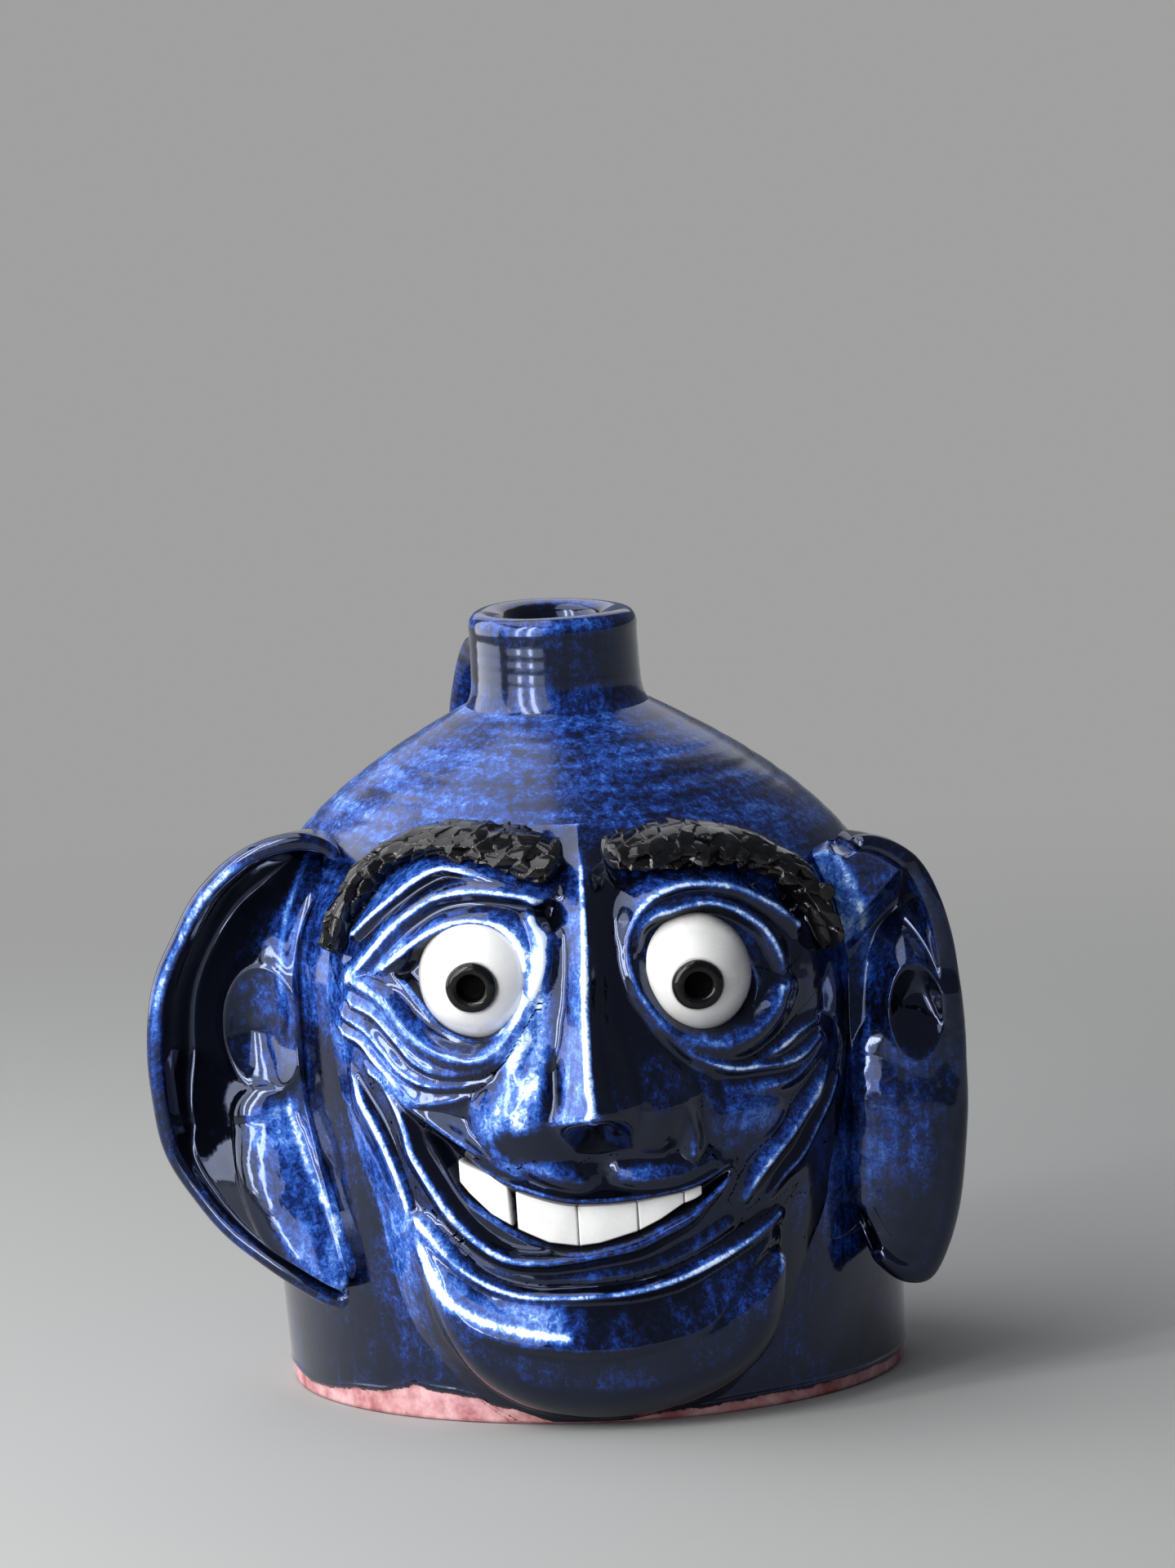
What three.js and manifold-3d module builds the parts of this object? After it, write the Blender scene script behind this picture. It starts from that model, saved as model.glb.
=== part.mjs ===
// A small face jug: a wheel-thrown stoneware jug with a face built from applied pieces of clay.
// Millimetres, +Z up. The origin is the middle of the flat foot and the face looks along -Y.
// The jug is modelled upright and sheared at the end, because it leans a little to the viewer's left.
import * as THREE from "three";
import { mergeVertices } from "three/addons/utils/BufferGeometryUtils.js";
import Module from "manifold-3d";

// Thrown body: foot, belly, domed shoulder, wall and floor
const BODY_HEIGHT = 153.5;
const FOOT_RADIUS = 69.7;
const BELLY_RADIUS = 73;
const BELLY_HEIGHT = 95;
const DOME_POWER = 2.15;
const WALL = 6;
const FLOOR = 7;
const FOOT_BEVEL = 1.2;
const LEAN = 0.0244;

// Neck collar and its mouth
const NECK_RADIUS = 19.2;
const NECK_HEIGHT = 20.5;
const BORE_RADIUS = 10.5;
const LIP_ROUND = 2.6;
const MOUTH_ROUND = 1.4;

// Strap handle behind the neck
const HANDLE_WIDTH = 21;
const HANDLE_THICKNESS = 7;
const HANDLE_DROP = 34;
const HANDLE_AZIMUTH = 16;

// Eyes
const EYE_RADIUS = 14;
const EYE_SINK = 3;
const EYE_SEAT = 3.4;
const PUPIL_RADIUS = 5.6;
const PUPIL_DEPTH = 2.2;
const PUPIL_STAND = 0.9;

// Ears: their thickness, and how deep the cup of each one is
const EAR_THICKNESS = 5.6;
const RIGHT_EAR_CUP = 15;
const LEFT_EAR_CUP = 12;

// How far the applied pieces stand out of the wall
const NOSE_HEIGHT = 19;
const BROW_HEIGHT = 8.5;
const LID_HEIGHT = 7.5;
const LIP_HEIGHT = 8.5;
const FOLD_HEIGHT = 5;
const CHIN_HEIGHT = 13;
const CHEEK_HEIGHT = 6;
const TOOTH_HEIGHT = 6;

// Clearance between neighbouring pieces, and the blunt edge of a laid-on piece
const GAP = 0.45;
const EDGE = 0.5;
const UNDERCUT = 2;

const DOME_RISE = BODY_HEIGHT - BELLY_HEIGHT;
const LATHE_SEGMENTS = 48;
const NECK_SEGMENTS = 40;
const STEEPEST = 3;

// Heights on the face are drawn for a body this tall, and stretch with the body.
const DRAWN_BODY_HEIGHT = 153.5;
const faceHeight = (z) => (z * BODY_HEIGHT) / DRAWN_BODY_HEIGHT;

const wasm = await Module();
wasm.setup();

// Outer radius of the thrown wall at a height: a slow swell to the belly, then a dome up to the neck.
function bodyRadius(z) {
  if (z <= BELLY_HEIGHT) {
    const swell = Math.sin((Math.PI / 2) * Math.max(0, z / BELLY_HEIGHT));
    return FOOT_RADIUS + (BELLY_RADIUS - FOOT_RADIUS) * swell;
  }
  const t = Math.min(1, (z - BELLY_HEIGHT) / DOME_RISE);
  return NECK_RADIUS + (BELLY_RADIUS - NECK_RADIUS) * (1 - t ** DOME_POWER);
}

// The point at an angle round the jug (0 is the middle of the face), a height, and a distance off the wall.
function onWall(angle, z, off) {
  const r = bodyRadius(z) + off;
  return new THREE.Vector3(r * Math.sin(angle), -r * Math.cos(angle), z);
}

// The angle at which a front-view x lies on a surface that stands `off` from the wall.
function angleOf(x, z, off) {
  return Math.asin(THREE.MathUtils.clamp(x / (bodyRadius(z) + off), -1, 1));
}

// A manifold solid from vertices and triangles, turned face out.
function solid(vertices, triangles) {
  const vertProperties = new Float32Array(vertices);
  const build = (tris) =>
    new wasm.Manifold(new wasm.Mesh({ numProp: 3, vertProperties, triVerts: new Uint32Array(tris) }));
  const made = build(triangles);
  if (made.volume() > 0) return made;
  const turned = [];
  for (let i = 0; i < triangles.length; i += 3) turned.push(triangles[i], triangles[i + 2], triangles[i + 1]);
  return build(turned);
}

// A manifold solid from a closed three.js geometry.
function solidOf(geometry) {
  const bare = geometry.clone();
  bare.deleteAttribute("normal");
  bare.deleteAttribute("uv");
  const merged = mergeVertices(bare, 1e-3);
  const triangles = [];
  const index = merged.index.array;
  for (let i = 0; i < index.length; i += 3) {
    const [a, b, c] = [index[i], index[i + 1], index[i + 2]];
    if (a !== b && b !== c && c !== a) triangles.push(a, b, c);
  }
  return solid(merged.attributes.position.array, triangles);
}

// The three.js geometry of a manifold solid.
function geometryOf(made) {
  const mesh = made.getMesh();
  const positions = new Float32Array(mesh.numVert * 3);
  for (let i = 0; i < mesh.numVert; i++) {
    positions.set(mesh.vertProperties.subarray(i * mesh.numProp, i * mesh.numProp + 3), i * 3);
  }
  const geometry = new THREE.BufferGeometry();
  geometry.setAttribute("position", new THREE.BufferAttribute(positions, 3));
  geometry.setIndex(new THREE.BufferAttribute(new Uint32Array(mesh.triVerts), 1));
  geometry.computeVertexNormals();
  return geometry;
}

// The biggest connected body of a solid: cuts can shave off crumbs.
function largest(made) {
  const parts = made.decompose();
  return parts.reduce((best, part) => (part.volume() > best.volume() ? part : best));
}

// A solid of revolution about the jug's axis, from a [radius, height] profile.
function turned(profile, segments = LATHE_SEGMENTS) {
  const points = profile.map(([r, z]) => new THREE.Vector2(r, z));
  return solidOf(new THREE.LatheGeometry(points, segments).rotateX(Math.PI / 2));
}

// A closed slab over a grid: `outer` and `inner` give the point of each sheet at (s, t), each from 0 to 1.
function slab(columns, rows, outer, inner) {
  const vertices = [];
  const triangles = [];
  const count = (columns + 1) * (rows + 1);
  for (const sheet of [outer, inner]) {
    for (let i = 0; i <= columns; i++) {
      for (let j = 0; j <= rows; j++) vertices.push(...sheet(i / columns, j / rows).toArray());
    }
  }
  const at = (i, j) => i * (rows + 1) + j;
  const quad = (a, b, c, d) => triangles.push(a, b, c, a, c, d);
  for (let i = 0; i < columns; i++) {
    for (let j = 0; j < rows; j++) {
      const corners = [at(i, j), at(i + 1, j), at(i + 1, j + 1), at(i, j + 1)];
      quad(...corners);
      quad(...corners.map((k) => k + count).reverse());
    }
  }
  const rim = [];
  for (let i = 0; i < columns; i++) rim.push(at(i, 0));
  for (let j = 0; j < rows; j++) rim.push(at(columns, j));
  for (let i = columns; i > 0; i--) rim.push(at(i, rows));
  for (let j = rows; j > 0; j--) rim.push(at(0, j));
  rim.forEach((a, k) => {
    const b = rim[(k + 1) % rim.length];
    quad(b, a, a + count, b + count);
  });
  return solid(vertices, triangles);
}

// A smooth value along a list of numbers, at t from 0 to 1.
function along(values, t) {
  const points = values.map((v, i) => new THREE.Vector3(i, v, 0));
  return new THREE.CatmullRomCurve3(points).getPoint(THREE.MathUtils.clamp(t, 0, 1)).y;
}

// A coil of clay laid on the wall. `path` is [x, z] in the front view, `half` the half widths along it and
// `heights` the share of `height` along it. A coil round an eye has its path and half widths in eye radii.
// `grow` swells it on every side, for cutting its neighbours.
function coil({ path, half, heights, height, eye, columns = 12, rows = 4 }, grow = 0) {
  const unit = eye ? EYE_RADIUS : 1;
  const flat = path.map(([a, b]) => {
    const x = eye ? eye.x + a * unit : a;
    const z = eye ? faceHeight(eye.z) + b * unit : faceHeight(b);
    return new THREE.Vector3(angleOf(x, z, height / 2) * BELLY_RADIUS, z, 0);
  });
  const curve = new THREE.CatmullRomCurve3(flat);
  const length = curve.getLength();
  const place = (s, t) => {
    const reach = -grow + (length + 2 * grow) * s;
    const share = THREE.MathUtils.clamp(reach / length, 0, 1);
    const point = curve.getPointAt(share);
    const tangent = curve.getTangentAt(share);
    point.addScaledVector(tangent, reach - share * length);
    const across = (2 * t - 1) * (along(half, share) * unit + grow);
    point.add(new THREE.Vector3(-tangent.y, tangent.x, 0).multiplyScalar(across));
    const end = Math.sin(Math.PI * Math.min(0.5, Math.max(0.12, Math.min(s, 1 - s) * columns * 0.35)));
    const crown = Math.sqrt(Math.max(0, 1 - (2 * t - 1) ** 2)) * end;
    return { point, off: EDGE + (height * along(heights, share) - EDGE) * crown };
  };
  const wall = (s, t, off) => {
    const { point } = place(s, t);
    return onWall(point.x / BELLY_RADIUS, point.y, off);
  };
  return slab(
    columns,
    rows,
    (s, t) => wall(s, t, GAP + place(s, t).off + grow),
    (s, t) => wall(s, t, grow > 0 ? -UNDERCUT : GAP),
  );
}

// A domed pad of clay on the wall. `outline` is a closed ring of [x, z] in the front view, about `middle`.
function pad({ middle, outline, height, fullness = 2, rings = 4, spokes = 22 }, grow = 0) {
  const ring = new THREE.CatmullRomCurve3(
    outline.map(([x, z]) => new THREE.Vector3(x, faceHeight(z), 0)),
    true,
  );
  const centre = new THREE.Vector3(middle[0], faceHeight(middle[1]), 0);
  const vertices = [];
  const triangles = [];
  const push = (point, off) => {
    vertices.push(...onWall(angleOf(point.x, point.y, height / 2), point.y, off).toArray());
    return vertices.length / 3 - 1;
  };
  const sheet = (offAt) => {
    const hub = push(centre, offAt(0));
    const loops = [];
    for (let k = 1; k <= rings; k++) {
      const share = k / rings;
      const loop = [];
      for (let m = 0; m < spokes; m++) {
        const edge = ring.getPoint(m / spokes).sub(centre);
        edge.setLength(edge.length() + grow);
        loop.push(push(edge.multiplyScalar(share).add(centre), offAt(share)));
      }
      loops.push(loop);
    }
    return { hub, loops };
  };
  const top = sheet((share) => GAP + grow + EDGE + (height - EDGE) * (1 - share ** fullness));
  const base = sheet(() => (grow > 0 ? -UNDERCUT : GAP));
  for (let m = 0; m < spokes; m++) {
    const n = (m + 1) % spokes;
    triangles.push(top.hub, top.loops[0][m], top.loops[0][n]);
    triangles.push(base.hub, base.loops[0][n], base.loops[0][m]);
    for (let k = 0; k + 1 < rings; k++) {
      const [a, b] = [top.loops[k], top.loops[k + 1]];
      triangles.push(a[m], b[m], b[n], a[m], b[n], a[n]);
      const [c, d] = [base.loops[k], base.loops[k + 1]];
      triangles.push(c[m], d[n], d[m], c[m], c[n], d[n]);
    }
    const [rimTop, rimBase] = [top.loops[rings - 1], base.loops[rings - 1]];
    triangles.push(rimTop[m], rimBase[m], rimBase[n], rimTop[m], rimBase[n], rimTop[n]);
  }
  return solid(vertices, triangles);
}

// The outer profile of the thrown wall, moved along its normal by `off`, from the foot to the shoulder's top.
function wallProfile(off, steps, from = 0) {
  const profile = [];
  for (let i = 0; i <= steps; i++) {
    const t = i / steps;
    const z = from + (BODY_HEIGHT - from) * (t < 0.45 ? t * 1.25 : 0.5625 + (t - 0.45) * (0.4375 / 0.55));
    const rise = (bodyRadius(z + 0.01) - bodyRadius(z - 0.01)) / 0.02;
    const slope = THREE.MathUtils.clamp(rise, -STEEPEST, STEEPEST);
    const stretch = Math.hypot(1, slope);
    profile.push([bodyRadius(z) + off / stretch, z - (off * slope) / stretch]);
  }
  return profile;
}

// The jug's outside as one filled solid, swollen by `grow`: it cuts the seats of what is laid on the wall.
function filledBody(grow) {
  const sides = wallProfile(grow, 22).filter(([, z]) => z > 0);
  const top = BODY_HEIGHT + Math.max(grow, 0);
  return turned([
    [0, -UNDERCUT],
    [FOOT_RADIUS + grow, -UNDERCUT],
    ...sides.filter(([, z]) => z < top),
    [NECK_RADIUS * 0.8, top],
    [0, top],
  ]);
}

// The thrown body: a flat floor, the wall, and a bore through the top of the shoulder.
function thrownBody() {
  const outside = wallProfile(0, 16).slice(1);
  const inside = wallProfile(-WALL, 10, FLOOR + WALL).filter(([r]) => r > BORE_RADIUS + 3);
  return turned([
    [0, 0],
    [FOOT_RADIUS - FOOT_BEVEL, 0],
    [FOOT_RADIUS, FOOT_BEVEL],
    ...outside,
    [BORE_RADIUS, BODY_HEIGHT],
    [BORE_RADIUS, BODY_HEIGHT - WALL * 0.7],
    ...inside.reverse(),
    [FOOT_RADIUS - WALL - 3, FLOOR],
    [0, FLOOR],
  ]);
}

// The neck collar, luted on the shoulder's flat top, with a rounded lip and a bore that opens at the mouth.
function neckCollar(grow = 0) {
  const foot = BODY_HEIGHT + GAP - grow;
  const top = BODY_HEIGHT + NECK_HEIGHT;
  const arc = (centre, radius, from, to, steps) =>
    Array.from({ length: steps + 1 }, (_, i) => {
      const angle = THREE.MathUtils.degToRad(from + ((to - from) * i) / steps);
      return [centre[0] + radius * Math.cos(angle), centre[1] + radius * Math.sin(angle)];
    });
  if (grow > 0) {
    const radius = NECK_RADIUS + grow;
    return turned([[0, foot], [radius, foot], [radius, top + grow], [0, top + grow]], NECK_SEGMENTS);
  }
  return turned(
    [
      [BORE_RADIUS, foot],
      [NECK_RADIUS, foot],
      ...arc([NECK_RADIUS - LIP_ROUND, top - LIP_ROUND], LIP_ROUND, 0, 90, 3),
      ...arc([BORE_RADIUS + MOUTH_ROUND, top - MOUTH_ROUND], MOUTH_ROUND, 90, 180, 2),
      [BORE_RADIUS, foot],
    ],
    NECK_SEGMENTS,
  );
}

// The strap handle, in the plane through the jug's axis: an oval strap from the neck over to the shoulder.
function strapHandle() {
  const top = BODY_HEIGHT + NECK_HEIGHT * 0.36;
  const foot = BODY_HEIGHT - HANDLE_DROP;
  const wall = bodyRadius(foot);
  const reach = wall - NECK_RADIUS;
  const curve = new THREE.CatmullRomCurve3(
    [
      [NECK_RADIUS - 4, top - 1],
      [NECK_RADIUS + 0.28 * reach, top + 2.4],
      [NECK_RADIUS + 0.62 * reach, top - 2],
      [NECK_RADIUS + 0.86 * reach, top - 14],
      [wall - 2, top - 27],
      [wall - 3, foot],
      [wall - 8, foot - 6],
    ].map(([r, z]) => new THREE.Vector3(r, 0, z)),
  );
  const steps = 16;
  const sides = 12;
  const vertices = [];
  const triangles = [];
  for (let i = 0; i <= steps; i++) {
    const centre = curve.getPointAt(i / steps);
    const tangent = curve.getTangentAt(i / steps);
    const out = new THREE.Vector3(tangent.z, 0, -tangent.x).multiplyScalar(-1);
    const waist = 1 - 0.14 * Math.sin((Math.PI * i) / steps);
    for (let k = 0; k < sides; k++) {
      const angle = (2 * Math.PI * k) / sides;
      const point = centre.clone().addScaledVector(out, (HANDLE_THICKNESS / 2) * Math.sin(angle));
      point.y += (HANDLE_WIDTH / 2) * waist * Math.cos(angle);
      vertices.push(...point.toArray());
    }
  }
  const at = (i, k) => i * sides + (k % sides);
  for (let i = 0; i < steps; i++) {
    for (let k = 0; k < sides; k++) {
      triangles.push(at(i, k), at(i, k + 1), at(i + 1, k + 1), at(i, k), at(i + 1, k + 1), at(i + 1, k));
    }
  }
  for (let k = 1; k + 1 < sides; k++) {
    triangles.push(at(0, 0), at(0, k + 1), at(0, k));
    triangles.push(at(steps, 0), at(steps, k), at(steps, k + 1));
  }
  return largest(solid(vertices, triangles).subtract(filledBody(GAP)).subtract(neckCollar(GAP)));
}

// An ear: a cupped leaf of clay from a root on the wall to a free rim. `side` is -1 for the jug's right ear,
// at the viewer's left. `rim` is [x, z] in the front view with x measured outwards from the belly's radius;
// `rimY` is how far the rim lies forward or back along it, and `root` is [angle, z] on the wall.
// `grow` thickens it, for cutting its neighbours.
function ear({ side, rim, rimY, root, cup }, grow = 0) {
  const columns = 7;
  const rows = 16;
  const place = ([a, z]) => new THREE.Vector3(a, faceHeight(z), 0);
  const trace = (points) => new THREE.CatmullRomCurve3(points.map(place));
  const rimCurve = trace(rim.map(([x, z]) => [BELLY_RADIUS + x, z]));
  const rootCurve = trace(root);
  const middle = (s, t) => {
    const base = rootCurve.getPoint(t);
    const from = onWall(THREE.MathUtils.degToRad(base.x), base.y, -2);
    const edge = rimCurve.getPoint(t);
    const to = new THREE.Vector3(edge.x, along(rimY, t), edge.y);
    const span = Math.min(1, from.distanceTo(to) / 24);
    const point = from.lerp(to, s);
    point.y += cup * span * Math.sin(Math.PI * s ** 0.85);
    return point;
  };
  const normal = (s, t) => {
    const step = 0.02;
    const [s0, s1] = [Math.max(0, s - step), Math.min(1, s + step)];
    const [t0, t1] = [Math.max(0, t - step), Math.min(1, t + step)];
    const ds = middle(s1, t).sub(middle(s0, t));
    const dt = middle(s, t1).sub(middle(s, t0));
    return ds.cross(dt).normalize();
  };
  const sheet = (share) => (s, t) => {
    const thickness = EAR_THICKNESS * (1 - 0.25 * s) + 2 * grow;
    const point = middle(s, t).addScaledVector(normal(s, t), share * thickness);
    point.x *= side;
    return point;
  };
  const leaf = slab(columns, rows, sheet(0.5), sheet(-0.5));
  return grow > 0 ? leaf : largest(leaf.subtract(filledBody(GAP)));
}

// The nose: a keel from between the brows to a wide flat end over the lip. Each station is
// [z, left x, ridge x, right x, share of the nose's height].
const NOSE_STATIONS = [
  [131, 0.2, 2.8, 5.6, 0.14],
  [122, -1.4, 3.1, 7.6, 0.34],
  [110, -2.6, 3.2, 9, 0.48],
  [98, -5, 2.8, 10, 0.62],
  [87, -9.4, 2.2, 13, 0.78],
  [79, -13, 2.1, 18, 0.92],
  [72, -16.8, 2.5, 22.4, 1],
  [66, -18.6, 2.8, 24, 0.8],
  [62.5, -16.6, 2.8, 22.6, 0.42],
];
function nose(grow = 0) {
  const station = (s) => NOSE_STATIONS[0].map((_, k) => along(NOSE_STATIONS.map((row) => row[k]), s));
  const place = (s, t) => {
    const [z, left, ridge, right, share] = station(s);
    const reach = faceHeight(z) + (0.5 - s) * 2 * grow;
    const [a, b] = [left - grow, right + grow];
    const x = t < 0.5 ? a + (ridge - a) * 2 * t : ridge + (b - ridge) * (2 * t - 1);
    const tent = 1 - Math.abs(2 * t - 1) ** 1.25;
    const off = EDGE + (NOSE_HEIGHT * share - EDGE) * tent;
    return { angle: angleOf(x, reach, off / 2), z: reach, off };
  };
  const outer = (s, t) => {
    const { angle, z, off } = place(s, t);
    return onWall(angle, z, GAP + grow + off);
  };
  const inner = (s, t) => {
    const { angle, z } = place(s, t);
    return onWall(angle, z, grow > 0 ? -UNDERCUT : GAP);
  };
  return slab(14, 8, outer, inner);
}

// Eyeballs sit in shallow sockets pressed in the wall; each has a dished pupil let into its front.
const EYES = {
  right: { x: -23.3, z: 101.5, look: [-22.8, 101.2] },
  left: { x: 29.2, z: 100.6, look: [27.6, 99.6] },
};
function eyeCentre({ x, z }) {
  return onWall(angleOf(x, faceHeight(z), EYE_RADIUS / 2), faceHeight(z), -EYE_SINK);
}
function eyeSphere(eye, grow = 0) {
  const ball = solidOf(new THREE.SphereGeometry(EYE_RADIUS + grow, 20, 14).rotateX(Math.PI / 2));
  return ball.translate(eyeCentre(eye).toArray());
}
function pupilPlug(eye, grow = 0) {
  const centre = eyeCentre(eye);
  const [x, drawn] = eye.look;
  const z = faceHeight(drawn);
  const aim = onWall(angleOf(x, z, EYE_RADIUS - EYE_SINK), z, EYE_RADIUS - EYE_SINK).sub(centre).normalize();
  const back = EYE_RADIUS - PUPIL_DEPTH - grow;
  const front = EYE_RADIUS + PUPIL_STAND + grow;
  const radius = PUPIL_RADIUS + grow;
  const profile = [
    [0, back],
    [radius, back],
    [radius, front - PUPIL_STAND],
    [radius - PUPIL_STAND, front],
    [radius * 0.62, front],
    [radius * 0.5, front - 1.2 * PUPIL_STAND],
    [0, front - 1.5 * PUPIL_STAND],
  ];
  const plug = new THREE.LatheGeometry(
    profile.map(([r, d]) => new THREE.Vector2(r, d)),
    18,
  );
  plug.applyQuaternion(new THREE.Quaternion().setFromUnitVectors(new THREE.Vector3(0, 1, 0), aim));
  return solidOf(plug.translate(...centre.toArray()));
}
function eyeball(eye) {
  return largest(eyeSphere(eye).subtract(filledBody(-EYE_SEAT)).subtract(pupilPlug(eye, GAP)));
}
function socketCutter(eye) {
  return eyeSphere(eye, GAP).subtract(filledBody(-EYE_SEAT - GAP));
}

// Teeth stand in the mouth between the lips. Each is [left x, right x, low z, high z].
const TEETH = [
  [-27.2, -16.9, 46, 58.5],
  [-16.1, -2.8, 41.5, 53.5],
  [-2.2, 10.7, 41.5, 51.5],
  [11.2, 20.9, 44, 52],
  [21.6, 24.6, 47.5, 53],
];
function tooth([left, right, low, high], grow = 0) {
  const place = (s, t) => {
    const z = faceHeight(low) - grow + (faceHeight(high) - faceHeight(low) + 2 * grow) * t;
    const x = left - grow + (right - left + 2 * grow) * s;
    const crown = (1 - (2 * s - 1) ** 4) * (1 - (2 * t - 1) ** 4);
    return { angle: angleOf(x, z, TOOTH_HEIGHT), z, off: TOOTH_HEIGHT * (0.72 + 0.28 * crown) };
  };
  return slab(
    4,
    3,
    (s, t) => onWall(place(s, t).angle, place(s, t).z, GAP + grow + place(s, t).off),
    (s, t) => onWall(place(s, t).angle, place(s, t).z, grow > 0 ? -UNDERCUT : GAP),
  );
}

// Routes of the laid-on coils, as [x, z] in the front view.
const COILS = {
  right_brow: {
    path: [[-53.6, 106], [-49, 116], [-40, 127], [-29, 131], [-15, 130], [-6.5, 127.8], [-1.6, 126]],
    half: [1.4, 3, 4, 4.3, 4.9, 5.6, 4.2],
    heights: [0.4, 0.75, 0.95, 1, 1, 1, 0.8],
    height: BROW_HEIGHT,
    columns: 16,
  },
  left_brow: {
    path: [[8.8, 127], [16, 127.8], [27, 129], [38, 127.5], [48.3, 121.5], [54.3, 112.5], [57.4, 102.5]],
    half: [4, 4.6, 4.6, 4.3, 3.6, 2.6, 1.3],
    heights: [0.8, 1, 1, 1, 0.9, 0.7, 0.4],
    height: BROW_HEIGHT,
    columns: 16,
  },
  right_upper_lid: {
    eye: EYES.right,
    path: [
      [-1.44, -0.01], [-1.05, 0.45], [-0.48, 0.85], [0.09, 0.99],
      [0.63, 0.81], [0.98, 0.32], [1.05, -0.18],
    ],
    half: [0.09, 0.17, 0.21, 0.21, 0.21, 0.2, 0.11],
    heights: [0.4, 0.9, 1, 1, 1, 0.9, 0.6],
    height: LID_HEIGHT,
  },
  right_lower_lid: {
    eye: EYES.right,
    path: [
      [-1.46, -0.18], [-1.12, -0.57], [-0.69, -0.96], [-0.12, -1.16],
      [0.44, -1.02], [0.85, -0.68], [1.03, -0.36],
    ],
    half: [0.09, 0.17, 0.21, 0.21, 0.21, 0.19, 0.1],
    heights: [0.4, 0.85, 0.95, 1, 0.95, 0.8, 0.6],
    height: LID_HEIGHT,
  },
  left_upper_lid: {
    eye: EYES.left,
    path: [
      [-1.09, -0.08], [-1.04, 0.46], [-0.66, 0.93], [-0.04, 1.11],
      [0.56, 0.97], [1.03, 0.5], [1.2, 0.03],
    ],
    half: [0.11, 0.2, 0.21, 0.21, 0.21, 0.2, 0.11],
    heights: [0.6, 0.9, 1, 1, 1, 0.9, 0.6],
    height: LID_HEIGHT,
  },
  left_lower_lid: {
    eye: EYES.left,
    path: [
      [-1.06, -0.33], [-0.84, -0.76], [-0.37, -1.09], [0.2, -1.16],
      [0.77, -0.93], [1.13, -0.5], [1.23, -0.19],
    ],
    half: [0.1, 0.19, 0.21, 0.21, 0.21, 0.19, 0.1],
    heights: [0.6, 0.9, 0.95, 1, 0.95, 0.9, 0.6],
    height: LID_HEIGHT,
  },
  upper_lip: {
    path: [
      [-35.6, 70.2], [-30, 66.6], [-23.6, 62], [-13.5, 57.2], [0, 54.8], [13.5, 55.4], [24, 57.4], [33, 60],
    ],
    half: [1.4, 2.2, 3, 4, 4.4, 4.2, 3.4, 1.6],
    heights: [0.5, 0.75, 0.9, 1, 1, 1, 0.9, 0.5],
    height: LIP_HEIGHT,
    columns: 16,
  },
  lower_lip: {
    path: [
      [-37.4, 66], [-33.4, 57.4], [-28.4, 50.2], [-21.6, 44.6], [-12.6, 40.4], [-2, 39], [8.4, 40.6],
      [17, 44.2], [25, 48.4], [32, 54.6],
    ],
    half: [1.4, 2.4, 2.8, 2.9, 2.8, 2.8, 2.8, 2.7, 2.4, 1.4],
    heights: [0.5, 0.8, 0.95, 1, 1, 1, 1, 0.95, 0.85, 0.5],
    height: LIP_HEIGHT,
    columns: 18,
  },
  right_smile_fold: {
    path: [[-49, 79.5], [-46.4, 73.6], [-43, 66.4], [-40.6, 58.6], [-37, 51.4]],
    half: [1.4, 2.6, 2.6, 2.2, 1.2],
    heights: [0.4, 1, 1, 0.9, 0.4],
    height: FOLD_HEIGHT,
  },
  left_smile_fold: {
    path: [[55.4, 75], [51, 67.6], [44.6, 59.6], [39, 52.8], [35, 47.4]],
    half: [1.6, 2.6, 2.8, 2.4, 1.2],
    heights: [0.4, 1, 1, 0.9, 0.4],
    height: FOLD_HEIGHT,
  },
  chin_fold: {
    path: [
      [-38.4, 47], [-32.7, 40.2], [-26, 35], [-16.8, 31.6], [-4.2, 30.4], [7.5, 30.6], [16, 31.8],
      [24, 34.6], [32, 38.4], [41, 43],
    ],
    half: [1.2, 2.2, 2.6, 2.8, 2.8, 2.8, 2.8, 2.6, 2.2, 1.2],
    heights: [0.4, 0.85, 1, 1, 1, 1, 1, 1, 0.85, 0.4],
    height: LIP_HEIGHT + 1,
    columns: 18,
  },
};

// Pads of clay that fill out the chin and the cheeks.
const PADS = {
  chin: {
    middle: [-3, 15],
    outline: [
      [-36, 40], [-33, 26], [-28.5, 15.5], [-22, 9], [-15, 5.6], [-5, 3.4], [5, 3.8], [14.5, 7.4], [23, 12.6],
      [31, 21], [38.5, 36], [28, 29.5], [12, 26.2], [-3.4, 25.6], [-18, 27], [-28, 31.5],
    ],
    height: CHIN_HEIGHT,
    rings: 5,
    spokes: 28,
  },
  right_cheek: {
    middle: [-32.5, 76],
    outline: [
      [-50, 89], [-43, 86], [-36, 81.6], [-27, 80.2], [-18, 81.6], [-14.5, 80.2], [-19, 72], [-24.6, 68],
      [-32, 70], [-39, 72.4], [-45.5, 78],
    ],
    height: CHEEK_HEIGHT,
  },
  left_cheek: {
    middle: [37, 73],
    outline: [
      [17, 86], [22, 82], [31, 79.4], [42, 80.6], [50, 87], [53, 83.6], [48.4, 76.6], [43, 70], [38, 64],
      [33.4, 63.4], [27.8, 65], [25.8, 71], [21, 78],
    ],
    height: CHEEK_HEIGHT,
  },
};

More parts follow.
